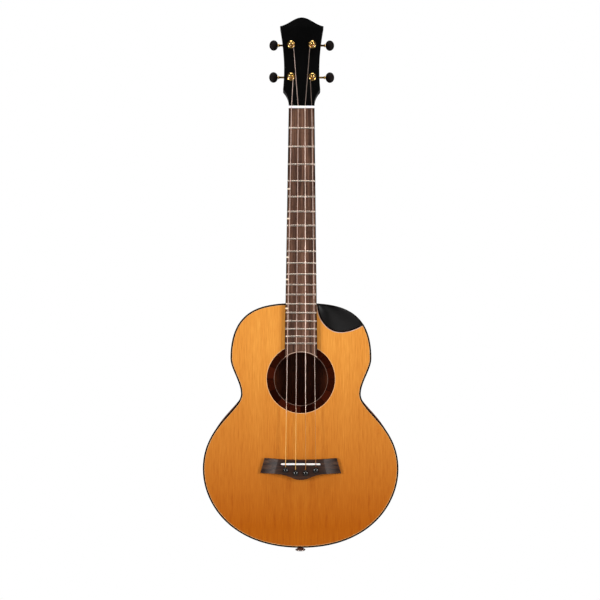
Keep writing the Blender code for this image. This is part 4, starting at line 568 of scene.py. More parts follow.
shape = {
    "scale": 482.6 * mm, "bodyFret": 14, "bodyLead": 1.0 * mm, "length": 335.3 * mm,
    "upperWidth": 193.2 * mm, "upperAt": 75.6 * mm, "waistWidth": 164.2 * mm, "waistAt": 124.5 * mm,
    "lowerWidth": 268.3 * mm, "lowerAt": 227.3 * mm,
    "shoulderHandles": (0.44, 1.0), "upperHandles": (0.29, 0.33),
    "lowerHandles": (0.215, 0.575), "tailHandles": (0.43, 0.72),
    "depthHeel": 78.0 * mm, "depthTail": 90.0 * mm, "spacing": 2.2 * mm,
}


def fretY(number):
    return -shape["scale"] * (1 - 2 ** (-number / 12))


bodyTop = fretY(shape["bodyFret"]) + shape["bodyLead"]
bodyEnd = bodyTop - shape["length"]
taper = math.atan2(shape["depthTail"] - shape["depthHeel"], shape["length"])
backPlace = face @ Matrix.Translation((0, bodyTop, -shape["depthHeel"])) @ Matrix.Rotation(taper, 4, "X")


def bezierRun(corners, steps=60):
    points = interpolate_bezier(*(Vector((x, y, 0)) for x, y in corners), steps + 1)
    return [(p.x, p.y) for p in points]


def joinRuns(*runs):
    points = list(runs[0])
    for run in runs[1:]:
        points += run[1:]
    return points


def resample(points, spacing):
    # points at equal distances along a run, both ends kept
    reached = [0.0]
    for a, b in zip(points, points[1:]):
        reached.append(reached[-1] + math.dist(a, b))
    count = max(2, round(reached[-1] / spacing))
    result, j = [], 0
    for i in range(count + 1):
        wanted = reached[-1] * i / count
        while j < len(points) - 2 and reached[j + 1] < wanted:
            j += 1
        share = min(1.0, (wanted - reached[j]) / (reached[j + 1] - reached[j]))
        result.append(tuple(p + (q - p) * share for p, q in zip(points[j], points[j + 1])))
    return result


def halfOutline():
    # treble half, from the neck joint round to the tail
    upper, waist, lower = (shape[k] / 2 for k in ("upperWidth", "waistWidth", "lowerWidth"))
    upperY, waistY, lowerY = (bodyTop - shape[k] for k in ("upperAt", "waistAt", "lowerAt"))
    out, rise = shape["shoulderHandles"]
    shoulder = bezierRun([(0, bodyTop), (out * upper, bodyTop),
                          (upper, upperY + rise * (bodyTop - upperY)), (upper, upperY)])
    leave, arrive = shape["upperHandles"]
    drop = upperY - waistY
    inward = bezierRun([(upper, upperY), (upper, upperY - leave * drop),
                        (waist, waistY + arrive * drop), (waist, waistY)])
    leave, arrive = shape["lowerHandles"]
    drop = waistY - lowerY
    outward = bezierRun([(waist, waistY), (waist, waistY - leave * drop),
                         (lower, lowerY + arrive * drop), (lower, lowerY)])
    leave, out = shape["tailHandles"]
    tail = bezierRun([(lower, lowerY), (lower, lowerY - leave * (lowerY - bodyEnd)),
                      (out * lower, bodyEnd), (0, bodyEnd)])
    return joinRuns(shoulder, inward, outward, tail)


def passing(points, axis, value):
    for a, b in zip(points, points[1:]):
        if min(a[axis], b[axis]) <= value <= max(a[axis], b[axis]) and a[axis] != b[axis]:
            share = (value - a[axis]) / (b[axis] - a[axis])
            return tuple(p + (q - p) * share for p, q in zip(a, b))


def offRun(point, a, b):
    run = (b[0] - a[0], b[1] - a[1])
    share = ((point[0] - a[0]) * run[0] + (point[1] - a[1]) * run[1]) / (run[0] ** 2 + run[1] ** 2)
    share = max(0.0, min(1.0, share))
    return math.dist(point, (a[0] + run[0] * share, a[1] + run[1] * share))


def inset(loop, distance, reach=8):
    # the loop moved inwards; points that would cross at a corner are dropped
    count = len(loop)
    moved = []
    for i, point in enumerate(loop):
        arriving = Vector(point) - Vector(loop[i - 1])
        leaving = Vector(loop[(i + 1) % count]) - Vector(point)
        normal = Vector((-arriving.y, arriving.x)).normalized()
        middle = (normal + Vector((-leaving.y, leaving.x)).normalized()).normalized()
        place = Vector(point) + middle * (distance / middle.dot(normal))
        near = [(loop[(i + k) % count], loop[(i + k + 1) % count]) for k in range(-reach, reach)]
        if min(offRun(place, a, b) for a, b in near) > 0.99 * distance:
            moved.append((place.x, place.y))
    return moved


half = resample(halfOutline(), shape["spacing"])
bodyLoop = [(-x, y) for x, y in half] + [(x, y) for x, y in reversed(half[1:-1])]

scoop = {
    "startX": 24.0 * mm, "tipAt": 27.7 * mm, "lowX": 54.2 * mm, "lowAt": 37.7 * mm, "endAngle": 32.0,
    "depth": 26.0 * mm, "hollow": 1.5, "panel": 1.8 * mm, "rows": 14, "lineWidth": 0.8 * mm,
}
scoopTip = passing(half, 1, bodyTop - scoop["tipAt"])
scoopStart = passing(half, 0, scoop["startX"])


def scoopArc():
    # edge of the top along the scoop, from its tip on the outline to the heel
    low = (scoop["lowX"], bodyTop - scoop["lowAt"])
    slope = math.radians(scoop["endAngle"])
    reach = 0.35 * (scoopTip[0] - low[0])
    first = bezierRun([scoopTip, (scoopTip[0] - reach * math.cos(slope), scoopTip[1] - reach * math.sin(slope)),
                       (low[0] + reach, low[1]), low])
    second = bezierRun([low, (low[0] - 0.55 * (low[0] - scoop["startX"]), low[1]),
                        (scoop["startX"], scoopStart[1] - 0.56 * (scoopStart[1] - low[1])), scoopStart])
    return joinRuns(first, second)


arc = resample(scoopArc(), shape["spacing"])
topLoop = ([(-x, y) for x, y in half]
           + [(x, y) for x, y in reversed(half[1:-1]) if y < scoopTip[1] - mm] + arc
           + [(x, y) for x, y in reversed(half[1:-1]) if y > scoopTip[1] and x < scoop["startX"] - mm])

# Top, rosette, back and bindings

trim = {
    "bindingWidth": 2.1 * mm, "bindingHeight": 3.0 * mm, "bindingEdge": 0.2 * mm,
    "lineWidth": 0.5 * mm, "lineDepth": 1.4 * mm, "top": 2.2 * mm,
    "holeRadius": 36.9 * mm, "rosetteRadius": 47.5 * mm, "rosetteDepth": 1.1 * mm, "holeY": -370.5 * mm,
}


def makeTop():
    edge = inset(topLoop, trim["bindingWidth"] + trim["lineWidth"])
    board = plate([edge, circle(0, trim["holeY"], trim["holeRadius"])], -trim["top"], 0)
    channel = plate([circle(0, trim["holeY"], trim["rosetteRadius"])], -trim["rosetteDepth"], mm)
    finish("soundboard_fine", carve(board, channel), cedar, replaces=["soundboard"], flats="z")
    line = plate([inset(topLoop, trim["bindingWidth"]), edge], -trim["lineDepth"], 0)
    finish("top_purfling", line, mapleLine, flats="z")
    rim = plate([topLoop, inset(topLoop, trim["bindingWidth"])], -trim["bindingHeight"], 0,
                trim["bindingEdge"], 4, only=lambda e: frontRim(e) and outerEdge(e, topLoop))
    finish("top_binding_fine", rim, blackBinding, replaces=["top_binding"], flats="z")


def makeScoopLine():
    # a pale line, raised 0.12 mm, on the cedar side of the scoop's binding: a painted highlight of the binding's lit
    # edge
    chains = []
    for distance in (trim["bindingWidth"], trim["bindingWidth"] + scoop["lineWidth"]):
        chains.append([p for p in inset(topLoop, distance)
                       if min(offRun(p, a, b) for a, b in zip(arc, arc[1:])) < distance + 0.1 * mm])
    line = plate([chains[0] + chains[1][::-1]], 0, 0.12 * mm)
    finish("scoop_line", line, palePinkLine, flats="z")


def outerEdge(edge, loop):
    # whether an edge lies on the outline itself, not on the ring's inner side
    middle = (edge.verts[0].co + edge.verts[1].co) / 2
    return min(offRun((middle.x, middle.y), a, b) for a, b in zip(loop, loop[1:] + loop[:1])) < 0.1 * mm


def makeRosette():
    y = trim["holeY"]
    hole, outer = trim["holeRadius"], trim["rosetteRadius"]
    low = -trim["rosetteDepth"]
    rings = (
        ("rosette_fine", hole, outer - 0.7 * mm, rosetteMaterial(-y), ["rosette"]),
        ("rosette_outer_line", outer - 0.7 * mm, outer, peachLine, []),
        # the grey ring at the hole's edge is a painted highlight of its lit rim
        ("rosette_hole_edge", hole - 0.4 * mm, hole, greyLine, []),
    )
    for name, inner, far, material, replaced in rings:
        ring = plate([circle(0, y, far, 192), circle(0, y, inner, 192)], low, 0)
        finish(name, ring, material, replaces=replaced, flats="z")


def inBackPlane(points):
    return [(x, (y - bodyTop) / math.cos(taper)) for x, y in points]


def makeBack():
    edge = inset(bodyLoop, trim["bindingWidth"] + trim["lineWidth"])
    board = plate([inBackPlane(edge)], 0, trim["top"])
    finish("back_fine", board, mahogany, backPlace, replaces=["back"], flats="z")
    line = plate([inBackPlane(inset(bodyLoop, trim["bindingWidth"])), inBackPlane(edge)], 0, trim["lineDepth"])
    finish("back_purfling", line, mapleLine, backPlace, flats="z")
    outline = inBackPlane(bodyLoop)
    rim = plate([outline, inBackPlane(inset(bodyLoop, trim["bindingWidth"]))], 0, trim["bindingHeight"],
                trim["bindingEdge"], 4,
                only=lambda e: min(f.normal.z for f in e.link_faces) < -0.99 and outerEdge(e, outline))
    finish("back_binding_fine", rim, blackBinding, backPlace, replaces=["back_binding"], flats="z")


def rimDrop(share):
    # depth of the scoop's outer rim, from its tip (0) to the heel (1)
    return trim["bindingHeight"] + (scoop["depth"] - trim["bindingHeight"]) * math.sin(share * math.pi / 2)


shoulder = resample([scoopTip] + [p for p in reversed(half) if p[1] > scoopTip[1] and p[0] > scoop["startX"]]
                    + [scoopStart], shape["spacing"])


def shoulderInset(distance):
    moved = []
    for i, point in enumerate(shoulder):
        before = Vector(shoulder[max(0, i - 1)])
        after = Vector(shoulder[min(len(shoulder) - 1, i + 1)])
        run = (after - before).normalized()
        moved.append((point[0] - run.y * distance, point[1] + run.x * distance))
    return moved


def wall(path, inner, fronts, backs):
    # four long faces round a strip of wood that stands on its edge
    rows = [[(x, y, z) for (x, y), z in zip(points, levels)]
            for points, levels in ((path, fronts), (path, backs), (inner, backs), (inner, fronts), (path, fronts))]
    return closeUp(skin(rows))


def makeSides():
    thick = 2.0 * mm
    innerLoop = inset(bodyLoop, thick)
    count = len(half)
    edge = trim["bindingHeight"]

    def depth(y):
        return edge - shape["depthHeel"] - (bodyTop - y) * math.tan(taper)

    bass, bassInner = bodyLoop[:count], innerLoop[:count]
    strip = wall(bass, bassInner, [-edge] * count, [depth(y) for x, y in bass])
    finish("side_bass_fine", strip, mahoganySide, replaces=["side_bass"])
    treble = [bodyLoop[count - 1]] + bodyLoop[count:] + [bodyLoop[0]]
    trebleInner = [innerLoop[count - 1]] + innerLoop[count:] + [innerLoop[0]]
    fronts = []
    for x, y in treble:
        near = min(range(len(shoulder)), key=lambda i: math.dist(shoulder[i], (x, y)))
        inScoop = y > scoopTip[1] and x > scoop["startX"] - scoop["panel"]
        fronts.append(-edge - (rimDrop(near / (len(shoulder) - 1)) if inScoop else 0))
    strip = wall(treble, trebleInner, fronts, [depth(y) for x, y in treble])
    finish("side_treble_fine", strip, mahoganySide, replaces=["side_treble"])


def makeScoop():
    # rim binding that follows the outline down beside the heel
    count = len(shoulder) - 1
    tops = [-rimDrop(i / count) for i in range(count + 1)]
    lows = [z - trim["bindingHeight"] for z in tops]
    strip = wall(shoulder, shoulderInset(2.3 * mm), tops, lows)
    finish("scoop_rim_binding", soften(strip, 0.5 * mm, 3, 60), blackBinding)
    # hollow panel between the top's edge and that rim
    inner = [p for p in scoopArc() if min(offRun(p, a, b) for a, b in zip(shoulder, shoulder[1:])) > 2.2 * mm]
    outer = [p for p in shoulderInset(2.3 * mm) if p[0] > inner[-1][0] + mm and p[1] > inner[0][1] + mm]
    outer = [inner[0]] + outer + [inner[-1]]
    steps = 64
    upper = trim["bindingHeight"]
    innerRun = resample(inner, spacingFor(inner, steps))
    outerRun = resample(outer, spacingFor(outer, steps))
    rows = []
    for j in range(scoop["rows"] + 1):
        way = j / scoop["rows"]
        drop = 1 - (1 - way) ** scoop["hollow"]
        row = []
        for i, (a, b) in enumerate(zip(innerRun, outerRun)):
            rim = max(rimDrop(i / steps), upper + mm)
            row.append((a[0] + (b[0] - a[0]) * way, a[1] + (b[1] - a[1]) * way, -upper - (rim - upper) * drop))
        rows.append(row)
    panel = skin(rows)
    bmesh.ops.remove_doubles(panel, verts=panel.verts, dist=0.01 * mm)
    bmesh.ops.recalc_face_normals(panel, faces=panel.faces)
    if sum(f.normal.z for f in panel.faces) < 0:
        bmesh.ops.reverse_faces(panel, faces=panel.faces)
    bmesh.ops.solidify(panel, geom=panel.faces[:], thickness=scoop["panel"])
    finish("scoop_panel_fine", panel, satinLacquer, replaces=["scoop_panel"], sharp=60)


def spacingFor(points, steps):
    return sum(math.dist(a, b) for a, b in zip(points, points[1:])) / steps


makeTop()
makeRosette()
makeBack()
makeSides()
makeScoop()
makeScoopLine()
print("body made")

# Bridge, saddle, pins and strap button

bridge = {
    "saddleY": -486.3 * mm, "aboveSaddle": 7.7 * mm, "topWidth": 98.9 * mm, "bottomWidth": 110.6 * mm,
    "length": 20.9 * mm, "belly": 8.3 * mm, "hollow": 2.2 * mm, "height": 8.8 * mm, "wing": 4.3 * mm,
    "blockTop": 60.4 * mm, "blockBottom": 70.0 * mm, "bellyShare": 0.705, "ramp": 17.0 * mm, "edge": 0.4 * mm,
    "saddleLength": 53.9 * mm, "saddleThickness": 2.5 * mm, "slotDepth": 4.5 * mm,
    "spacing": 13.75 * mm, "pinOuter": 8.4 * mm, "pinInner": 12.4 * mm,
    "pinHead": 3.7 * mm, "pinHeight": 2.8 * mm, "pinRadius": 2.3 * mm,
}
strings = (("d", 0.89 * mm), ("g", 0.76 * mm), ("b", 0.86 * mm), ("e", 0.66 * mm))
course = {
    "nutSpacing": 9.3 * mm, "levelAtNut": 7.3 * mm, "rise": 2.1 * mm, "ball": 1.9 * mm,
    "turnGap": 0.4 * mm, "rootTurn": 0.75, "postTurn": 0.75, "tail": 2.4 * mm,
}


def nutPoint(index):
    # centre of a string at the nut's front edge
    return (index - 1.5) * course["nutSpacing"], 0, course["levelAtNut"] + strings[index][1] / 2




def pinPlace(index):
    behind = bridge["pinOuter"] if index in (0, 3) else bridge["pinInner"]
    return (index - 1.5) * bridge["spacing"], bridge["saddleY"] - behind


def bridgeOutline():
    upperY = bridge["saddleY"] + bridge["aboveSaddle"]
    foot = upperY - bridge["length"]
    belly = foot - bridge["belly"]
    flat = bridge["bellyShare"] * bridge["bottomWidth"] / 2
    top = bridge["topWidth"] / 2
    swell = bezierRun([(0, belly), (0.33 * flat, belly), (0.42 * flat, foot), (flat, foot)], 24)
    hollow = bezierRun([(top, upperY), (0.6 * top, upperY - 0.8 * bridge["hollow"]),
                        (0.3 * top, upperY - bridge["hollow"]), (0, upperY - bridge["hollow"])], 20)
    right = swell + [(bridge["bottomWidth"] / 2, foot + seam)] + hollow
    return right + [(-x, y) for x, y in reversed(right[1:-1])]


def makeBridge():
    block = plate([bridgeOutline()], 0, bridge["height"])
    upperY = bridge["saddleY"] + bridge["aboveSaddle"]
    steps = 12
    halfTop, halfBottom = bridge["blockTop"] / 2, bridge["blockBottom"] / 2
    lean = (halfBottom - halfTop) / bridge["length"]
    for side in (-1, 1):
        # cuts along the slanting shoulder, so that its face can be curved down to the wing
        for i in range(steps + 1):
            start = (side * (halfTop + bridge["ramp"] * i / steps), upperY, 0)
            bmesh.ops.bisect_plane(block, geom=block.verts[:] + block.edges[:] + block.faces[:],
                                   plane_co=start, plane_no=(1, side * lean, 0), dist=0.001 * mm)
    fall = bridge["height"] - bridge["wing"]
    for vert in block.verts:
        if vert.co.z > bridge["height"] / 2:
            beyond = (abs(vert.co.x) - halfTop - lean * (upperY - vert.co.y)) / bridge["ramp"]
            beyond = max(0.0, min(1.0, beyond))
            vert.co.z -= fall * (1 - (1 - beyond) ** 1.5)
    soften(block, bridge["edge"], 3, 55, only=lambda e: all(v.co.z > mm for v in e.verts))
    y, thick, length = bridge["saddleY"], bridge["saddleThickness"] / 2 + 0.1 * mm, bridge["saddleLength"] / 2
    slot = box((-length, y - thick, bridge["height"] - bridge["slotDepth"]), (length, y + thick, bridge["height"] + mm))
    soften(slot, thick * 0.95, 8, 60, only=lambda e: abs(e.verts[0].co.z - e.verts[1].co.z) > mm)
    cutters = [slot]
    for index, (name, diameter) in enumerate(strings):
        x, pinY = pinPlace(index)
        ahead = pinY + bridge["pinHead"] + seam + diameter / 2
        cutters.append(rod(bridge["pinRadius"] + seam, (x, pinY, -mm), (x, pinY, bridge["height"] + mm)))
        cutters.append(box((x - diameter / 2 - seam, pinY, -mm), (x + diameter / 2 + seam, ahead + diameter, bridge["height"] + mm)))
    finish("bridge_fine", carve(block, *cutters), bridgeRosewood, replaces=["bridge"], flats="z", sharp=40)


def makeSaddle():
    low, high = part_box("saddle")
    size = [(low.x, -high.z), (high.x, -low.z)]
    thick = bridge["saddleThickness"]
    middle = (low.z + high.z) / 2
    bar = box((low.x, middle - thick / 2, -high.y), (high.x, middle + thick / 2, -low.y))
    soften(bar, thick * 0.48, 8, 60, only=lambda e: abs(e.verts[0].co.z - e.verts[1].co.z) > mm)
    crest = -low.y
    soften(bar, 1.1 * mm, 5, 50, only=lambda e: all(v.co.z > crest - 0.1 * mm for v in e.verts))
    finish("saddle_fine", bar, bone, replaces=["saddle"])


def makePins():
    head, height, shaft = bridge["pinHead"], bridge["pinHeight"], bridge["pinRadius"]
    dome = [(head * math.sin(a), height * (0.16 + 0.84 * math.cos(a)))
            for a in (math.pi / 2 * i / 14 for i in range(15))]
    profile = dome + [(head, 0.06 * height), (0.93 * head, 0), (shaft * 1.15, 0), (shaft, -1.2 * mm),
                      (0.78 * shaft, -19 * mm), (0, -20 * mm)]
    for index in range(4):
        x, y = pinPlace(index)
        place = face @ Matrix.Translation((x, y, bridge["height"] + 0.1 * mm))
        node = f"bridge_pin_{index + 1}"
        finish(node + "_fine", turned(profile), glossPlastic, place, replaces=[node])


def makeStrapButton():
    low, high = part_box("strap_button")
    length, radius, dome, flat = 11.5 * mm, (high.x - low.x) / 2, 2.0 * mm, 3.8 * mm
    rim, waist = length - dome, 0.5 * radius
    crown = [(flat + (radius - flat) * math.sin(a), rim + dome * math.cos(a))
             for a in (math.pi / 2 * i / 12 for i in range(13))]
    throat = [(waist + (radius - 0.3 * mm - waist) * (1 - math.sin(a)), rim - 0.6 * mm - 3.6 * mm * (1 - math.cos(a)))
              for a in (math.pi / 2 * i / 10 for i in range(11))]
    foot = [(waist + 0.28 * radius * (1 - math.cos(a)), 0.24 * length * (1 - math.sin(a)))
            for a in (math.pi / 2 * i / 6 for i in range(7))]
    profile = [(0, length - 0.6 * mm), (2.4 * mm, length - 0.6 * mm), (2.4 * mm, length)] + crown + throat + foot + [
        (0.78 * radius, 0), (1.8 * mm, 0), (1.8 * mm, -13 * mm), (0, -16 * mm)]
    place = (face @ Matrix.Translation((0, bodyEnd - seam, -(low.y + high.y) / 2))
             @ Matrix.Rotation(math.pi / 2, 4, "X"))
    finish("strap_button_fine", turned(profile, 64, 0.15 * mm), chrome, place, replaces=["strap_button"])


makeBridge()
makeSaddle()
makePins()
makeStrapButton()
print("bridge made")

# Neck, headstock and fingerboard

neck = {
    "nutWidth": 35.4 * mm, "jointWidth": 42.7 * mm, "depthNut": 14.0 * mm, "depthHeel": 15.5 * mm,
    "heelLength": 54.0 * mm, "heelFoot": 15.0 * mm, "heelTaper": 0.42, "sectionSteps": 36,
    "tilt": 14.0, "headThickness": 13.0 * mm, "headLength": 130.9 * mm, "shoulderAt": 24.0 * mm,
    "shoulderWidth": 51.2 * mm, "crest": 13.3 * mm, "cornerWidth": 60.4 * mm,
    "nutThickness": 3.3 * mm, "headplate": 1.8 * mm,
}
head = (face @ Matrix.Translation((0, neck["nutThickness"] + seam, 0))
        @ Matrix.Rotation(math.radians(-neck["tilt"]), 4, "X"))
headFromFace = face.inverted() @ head


def boardWidth(y):
    return neck["nutWidth"] + (neck["jointWidth"] - neck["nutWidth"]) * y / bodyTop


def headHalf():
    # (distance up the headstock, half width), from the nut to the crest's centre
    shoulder = (neck["shoulderAt"], neck["shoulderWidth"] / 2)
    corner = (neck["headLength"] - neck["crest"], neck["cornerWidth"] / 2)
    start = neck["nutWidth"] / 2
    flare = bezierRun([(0, start), (0.45 * shoulder[0], start),
                       (0.69 * shoulder[0], start + 0.25 * (shoulder[1] - start)), shoulder], 16)
    span = corner[0] - shoulder[0]
    side = bezierRun([shoulder, (shoulder[0] + 0.26 * span, shoulder[1] - 2.4 * mm),
                      (shoulder[0] + 0.62 * span, shoulder[1] - 1.7 * mm), corner], 20)
    crest = bezierRun([corner, (corner[0] + 0.2 * neck["crest"], 0.6 * corner[1]),
                       (neck["headLength"], 0.345 * corner[1]), (neck["headLength"], 0)], 24)
    return joinRuns(flare, side, crest)


def neckSection(width, depth, squareness, narrowing=0.0):
    # flat in front, rounded behind
    points = []
    steps = neck["sectionSteps"]
    for i in range(steps + 1):
        angle = math.pi * i / steps
        c, s = math.cos(angle), math.sin(angle)
        z = -depth * abs(s) ** (2 / squareness)
        x = -math.copysign(abs(c) ** (2 / squareness), c) * width / 2
        points.append((x * (1 + narrowing * z / shape["depthHeel"]), z if 0 < i < steps else 0))
    return points


def makeNeck():
    rows = []
    end = bodyTop + seam
    cove = neck["heelLength"] - neck["heelFoot"]
    stations = [(end, shape["depthHeel"], 3.4)]
    for i in range(29):
        angle = math.pi / 2 * (1 - i / 28)
        depth = neck["depthHeel"] + (shape["depthHeel"] - neck["depthHeel"]) * (1 - math.cos(angle))
        stations.append((end + neck["heelFoot"] + cove * (1 - math.sin(angle)), depth,
                         2.2 + 1.2 * (1 - math.cos(angle))))
    for y, depth, squareness in stations:
        rows.append([(x, y, z) for x, z in neckSection(boardWidth(y), depth, squareness, neck["heelTaper"])])
    start, stop = stations[-1][0], -6 * mm
    for i in range(1, 13):
        y = start + (stop - start) * i / 12
        depth = neck["depthHeel"] + (neck["depthNut"] - neck["depthHeel"]) * i / 12
        rows.append([(x, y, z) for x, z in neckSection(boardWidth(y), depth, 2.2, neck["heelTaper"])])
    headRows = []
    for up, width in headHalf()[2:-1]:
        square = 3.0 + 21.0 * min(1.0, up / neck["shoulderAt"])
        section = neckSection(2 * width, neck["headThickness"], square)
        headRows.append([tuple(headFromFace @ Vector((x, up, z))) for x, z in section])
    rows.append(headRows[0])
    finish("neck_fine", closeUp(skin(rows, closed=True)), mahoganyNeck, replaces=["neck"], sharp=50)
    # behind the nut the lacquer of the headstock's face goes on over its flanks and back
    finish("headstock_fine", closeUp(skin(headRows, closed=True)), headLacquer, sharp=50)


def makeHeadplate():
    outline = [(w, u) for u, w in headHalf()] + [(-w, u) for u, w in reversed(headHalf()[:-1])]
    front = plate([outline], 0.02 * mm, neck["headplate"], 0.2 * mm, 3, only=frontRim)
    finish("headplate_fine", front, pianoLacquer, head, replaces=["headplate"], flats="z")


board = {
    "top": 5.8 * mm, "bindingWidth": 1.1 * mm, "frets": 19, "fretWidth": 2.2 * mm, "fretHeight": 1.0 * mm,
    "fretInset": 0.4 * mm, "markedFrets": (5, 7, 10, 12, 15), "markerSize": (4.4 * mm, 2.3 * mm),
    "endLine": 0.7 * mm,
}


def boardOutline(inward):
    # from the nut down to the arc round the soundhole
    y = trim["holeY"]
    radius = trim["holeRadius"] + seam + inward
    cornerY = y + radius
    for _ in range(5):
        cornerY = y + math.sqrt(radius ** 2 - (boardWidth(cornerY) / 2 - inward) ** 2)
    spread = math.asin((boardWidth(cornerY) / 2 - inward) / radius)
    angles = [spread * (1 - 2 * i / 40) for i in range(41)]
    half = boardWidth(0) / 2 - inward
    return [(half, -seam), (-half, -seam)] + [(-radius * math.sin(a), y + radius * math.cos(a)) for a in angles]


def makeFingerboard():
    high = board["top"]
    wood = plate([boardOutline(board["bindingWidth"])], 0.02 * mm, high)
    finish("fingerboard_fine", wood, boardRosewood, replaces=["fingerboard"], flats="z")
    # pale line that closes the board's end, round the soundhole
    end = [p for p in boardOutline(0) if p[1] < -mm]
    inner = [p for p in boardOutline(board["endLine"]) if p[1] < -mm]
    rows = [[(x, y, z) for x, y in run] for run, z in ((end, 0.02 * mm), (end, high + 0.02 * mm),
                                                       (inner, high + 0.02 * mm), (inner, 0.02 * mm), (end, 0.02 * mm))]
    finish("fingerboard_end_line", closeUp(skin(rows)), palePinkLine, flats="z")
    strip = carve(plate([boardOutline(0)], 0.02 * mm, high, 0.15 * mm, 3, only=frontRim),
                  plate([boardOutline(board["bindingWidth"])], -mm, high + mm))
    finish("fingerboard_binding", strip, blackBinding, flats="z")
    for number in range(1, board["frets"] + 1):
        makeFret(number)
    length, width = board["markerSize"]
    for fret in board["markedFrets"]:
        y = (fretY(fret - 1) + fretY(fret)) / 2
        edge = -boardWidth(y) / 2
        bar = box((edge - 0.03 * mm, y - width / 2, high - 2.2 * mm), (edge + length, y + width / 2, high + 0.04 * mm))
        finish(f"side_marker_{fret}", soften(bar, 0.25 * mm, 3, 60), creamMarker, flats="xyz")


def makeFret(number):
    y, top = fretY(number), board["top"]
    reach = boardWidth(y) / 2 - board["fretInset"]
    crown = [(math.cos(math.pi * i / 12) * board["fretWidth"] / 2,
              (math.sin(math.pi * i / 12) ** 0.8) * board["fretHeight"]) for i in range(13)]
    crown = [(crown[0][0], -0.3 * mm)] + crown + [(crown[-1][0], -0.3 * mm)]
    rows = []
    for x, full in ((-reach, 0.45), (-reach + 0.25 * mm, 0.85), (-reach + 0.6 * mm, 1.0),
                    (reach - 0.6 * mm, 1.0), (reach - 0.25 * mm, 0.85), (reach, 0.45)):
        rows.append([(x, y + along * (0.7 + 0.3 * full), top + rise * (full if rise > 0 else 1))
                     for along, rise in crown])
    finish(f"fret_{number}", closeUp(skin(rows, closed=True)), nickelSilver)


def makeNut():
    low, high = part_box("nut")
    block = box((low.x, low.z, 0.02 * mm), (high.x, high.z, -low.y))
    fall = neck["nutThickness"] * math.tan(math.radians(neck["tilt"]))
    for vert in block.verts:
        if vert.co.z > mm and vert.co.y > mm:
            vert.co.z -= fall
    soften(block, 0.5 * mm, 4, 40, only=lambda e: any(v.co.z > mm for v in e.verts))
    slots = []
    for index, (name, diameter) in enumerate(strings):
        x, _, level = nutPoint(index)
        slots.append(rod(diameter / 2 + 0.1 * mm, (x, -4 * mm, level + 0.02 * mm), (x, 6 * mm, level - 1.4 * mm)))
    finish("nut_fine", carve(block, *slots), bone, replaces=["nut"], sharp=30)


makeNeck()
makeHeadplate()
makeFingerboard()
makeNut()
print("neck made")

# Tuning machines and strings

machine = {
    "spread": 29.5 * mm, "rows": (0.321, 0.687), "postRadius": 3.0 * mm, "waist": 2.5 * mm,
    "postHeight": 8.9 * mm, "holeHeight": 5.7 * mm, "teeth": 16, "pitch": 1.8 * mm, "wormRadius": 3.0 * mm,
    "addendum": 0.45 * mm, "dedendum": 0.6 * mm, "threadShare": 0.4, "flank": 20.0, "threadTurns": 3,
    "wheelThickness": 4.0 * mm, "shaft": 1.4 * mm, "plate": 1.2 * mm, "plateWidth": 12.6 * mm,
    "plateTail": 10.5 * mm, "cheek": 1.2 * mm, "reach": 39.2 * mm,
    "button": (7.6 * mm, 15.4 * mm, 12.2 * mm), "grip": 1.8 * mm,
}
wheelRadius = machine["teeth"] * machine["pitch"] / (2 * math.pi)
wormOffset = machine["wormRadius"] + wheelRadius
plateFront = -neck["headThickness"] - seam
plateBack = plateFront - machine["plate"]
wormLevel = plateBack - seam - machine["wormRadius"] - machine["addendum"]
wormHalf = (machine["threadTurns"] + 1) * machine["pitch"] / 2
cheekInner = wormHalf + seam
wheelFront = wormLevel + machine["wheelThickness"] / 2
wheelBack = wormLevel - machine["wheelThickness"] / 2
upright = Matrix(((0, 0, 1, 0), (1, 0, 0, 0), (0, 1, 0, 0), (0, 0, 0, 1)))   # a plate's x, y become y, z


def makeBushing(number, post):
    bore = machine["postRadius"] + 0.15 * mm
    crown = [(3.0 * mm + 2.5 * mm * math.sin(a), 0.4 * mm + 1.5 * mm * math.cos(a))
             for a in (math.pi / 2 * i / 12 for i in range(13))]
    profile = [(bore, 1.7 * mm), (bore + 0.12 * mm, 1.9 * mm)] + crown + [(5.5 * mm, -0.25 * mm), (4.2 * mm, -0.25 * mm), (4.2 * mm, -6 * mm),
               (bore, -6 * mm), (bore, 1.7 * mm)]
    place = post @ Matrix.Translation((0, 0, neck["headplate"] + seam))
    finish(f"tuner_bushing_{number}_fine", turned(profile, 64), gold, place,
           replaces=[f"tuner_bushing_{number}"], sharp=25)


def wheelLoop(twist):
    step = 2 * math.pi / machine["teeth"]
    lean = math.tan(math.radians(machine["flank"]))
    half = machine["threadShare"] * machine["pitch"] / 2
    root, tip = wheelRadius - machine["dedendum"], wheelRadius + machine["addendum"]
    rootTurn = (half + machine["dedendum"] * lean) / root
    tipTurn = (half - machine["addendum"] * lean) / tip
    loop = []
    for tooth in range(machine["teeth"]):
        middle = math.pi / 2 + tooth * step + twist
        for radius, turn in ((root, -rootTurn), (tip, -tipTurn), (tip, tipTurn), (root, rootTurn)):
            loop.append((radius * math.cos(middle + turn), radius * math.sin(middle + turn)))
    return loop


def slottedScrew(radius, height):
    # domed head with one slot, standing on z = 0
    dome = [(radius * math.sin(a), height * (0.25 + 0.75 * math.cos(a)))
            for a in (math.pi / 2 * i / 8 for i in range(9))]
    headShape = turned(dome + [(radius, 0), (0, 0)], 32)
    slot = box((-2 * radius, -0.17 * radius, 0.55 * height), (2 * radius, 0.17 * radius, 2 * height))
    return carve(headShape, slot)


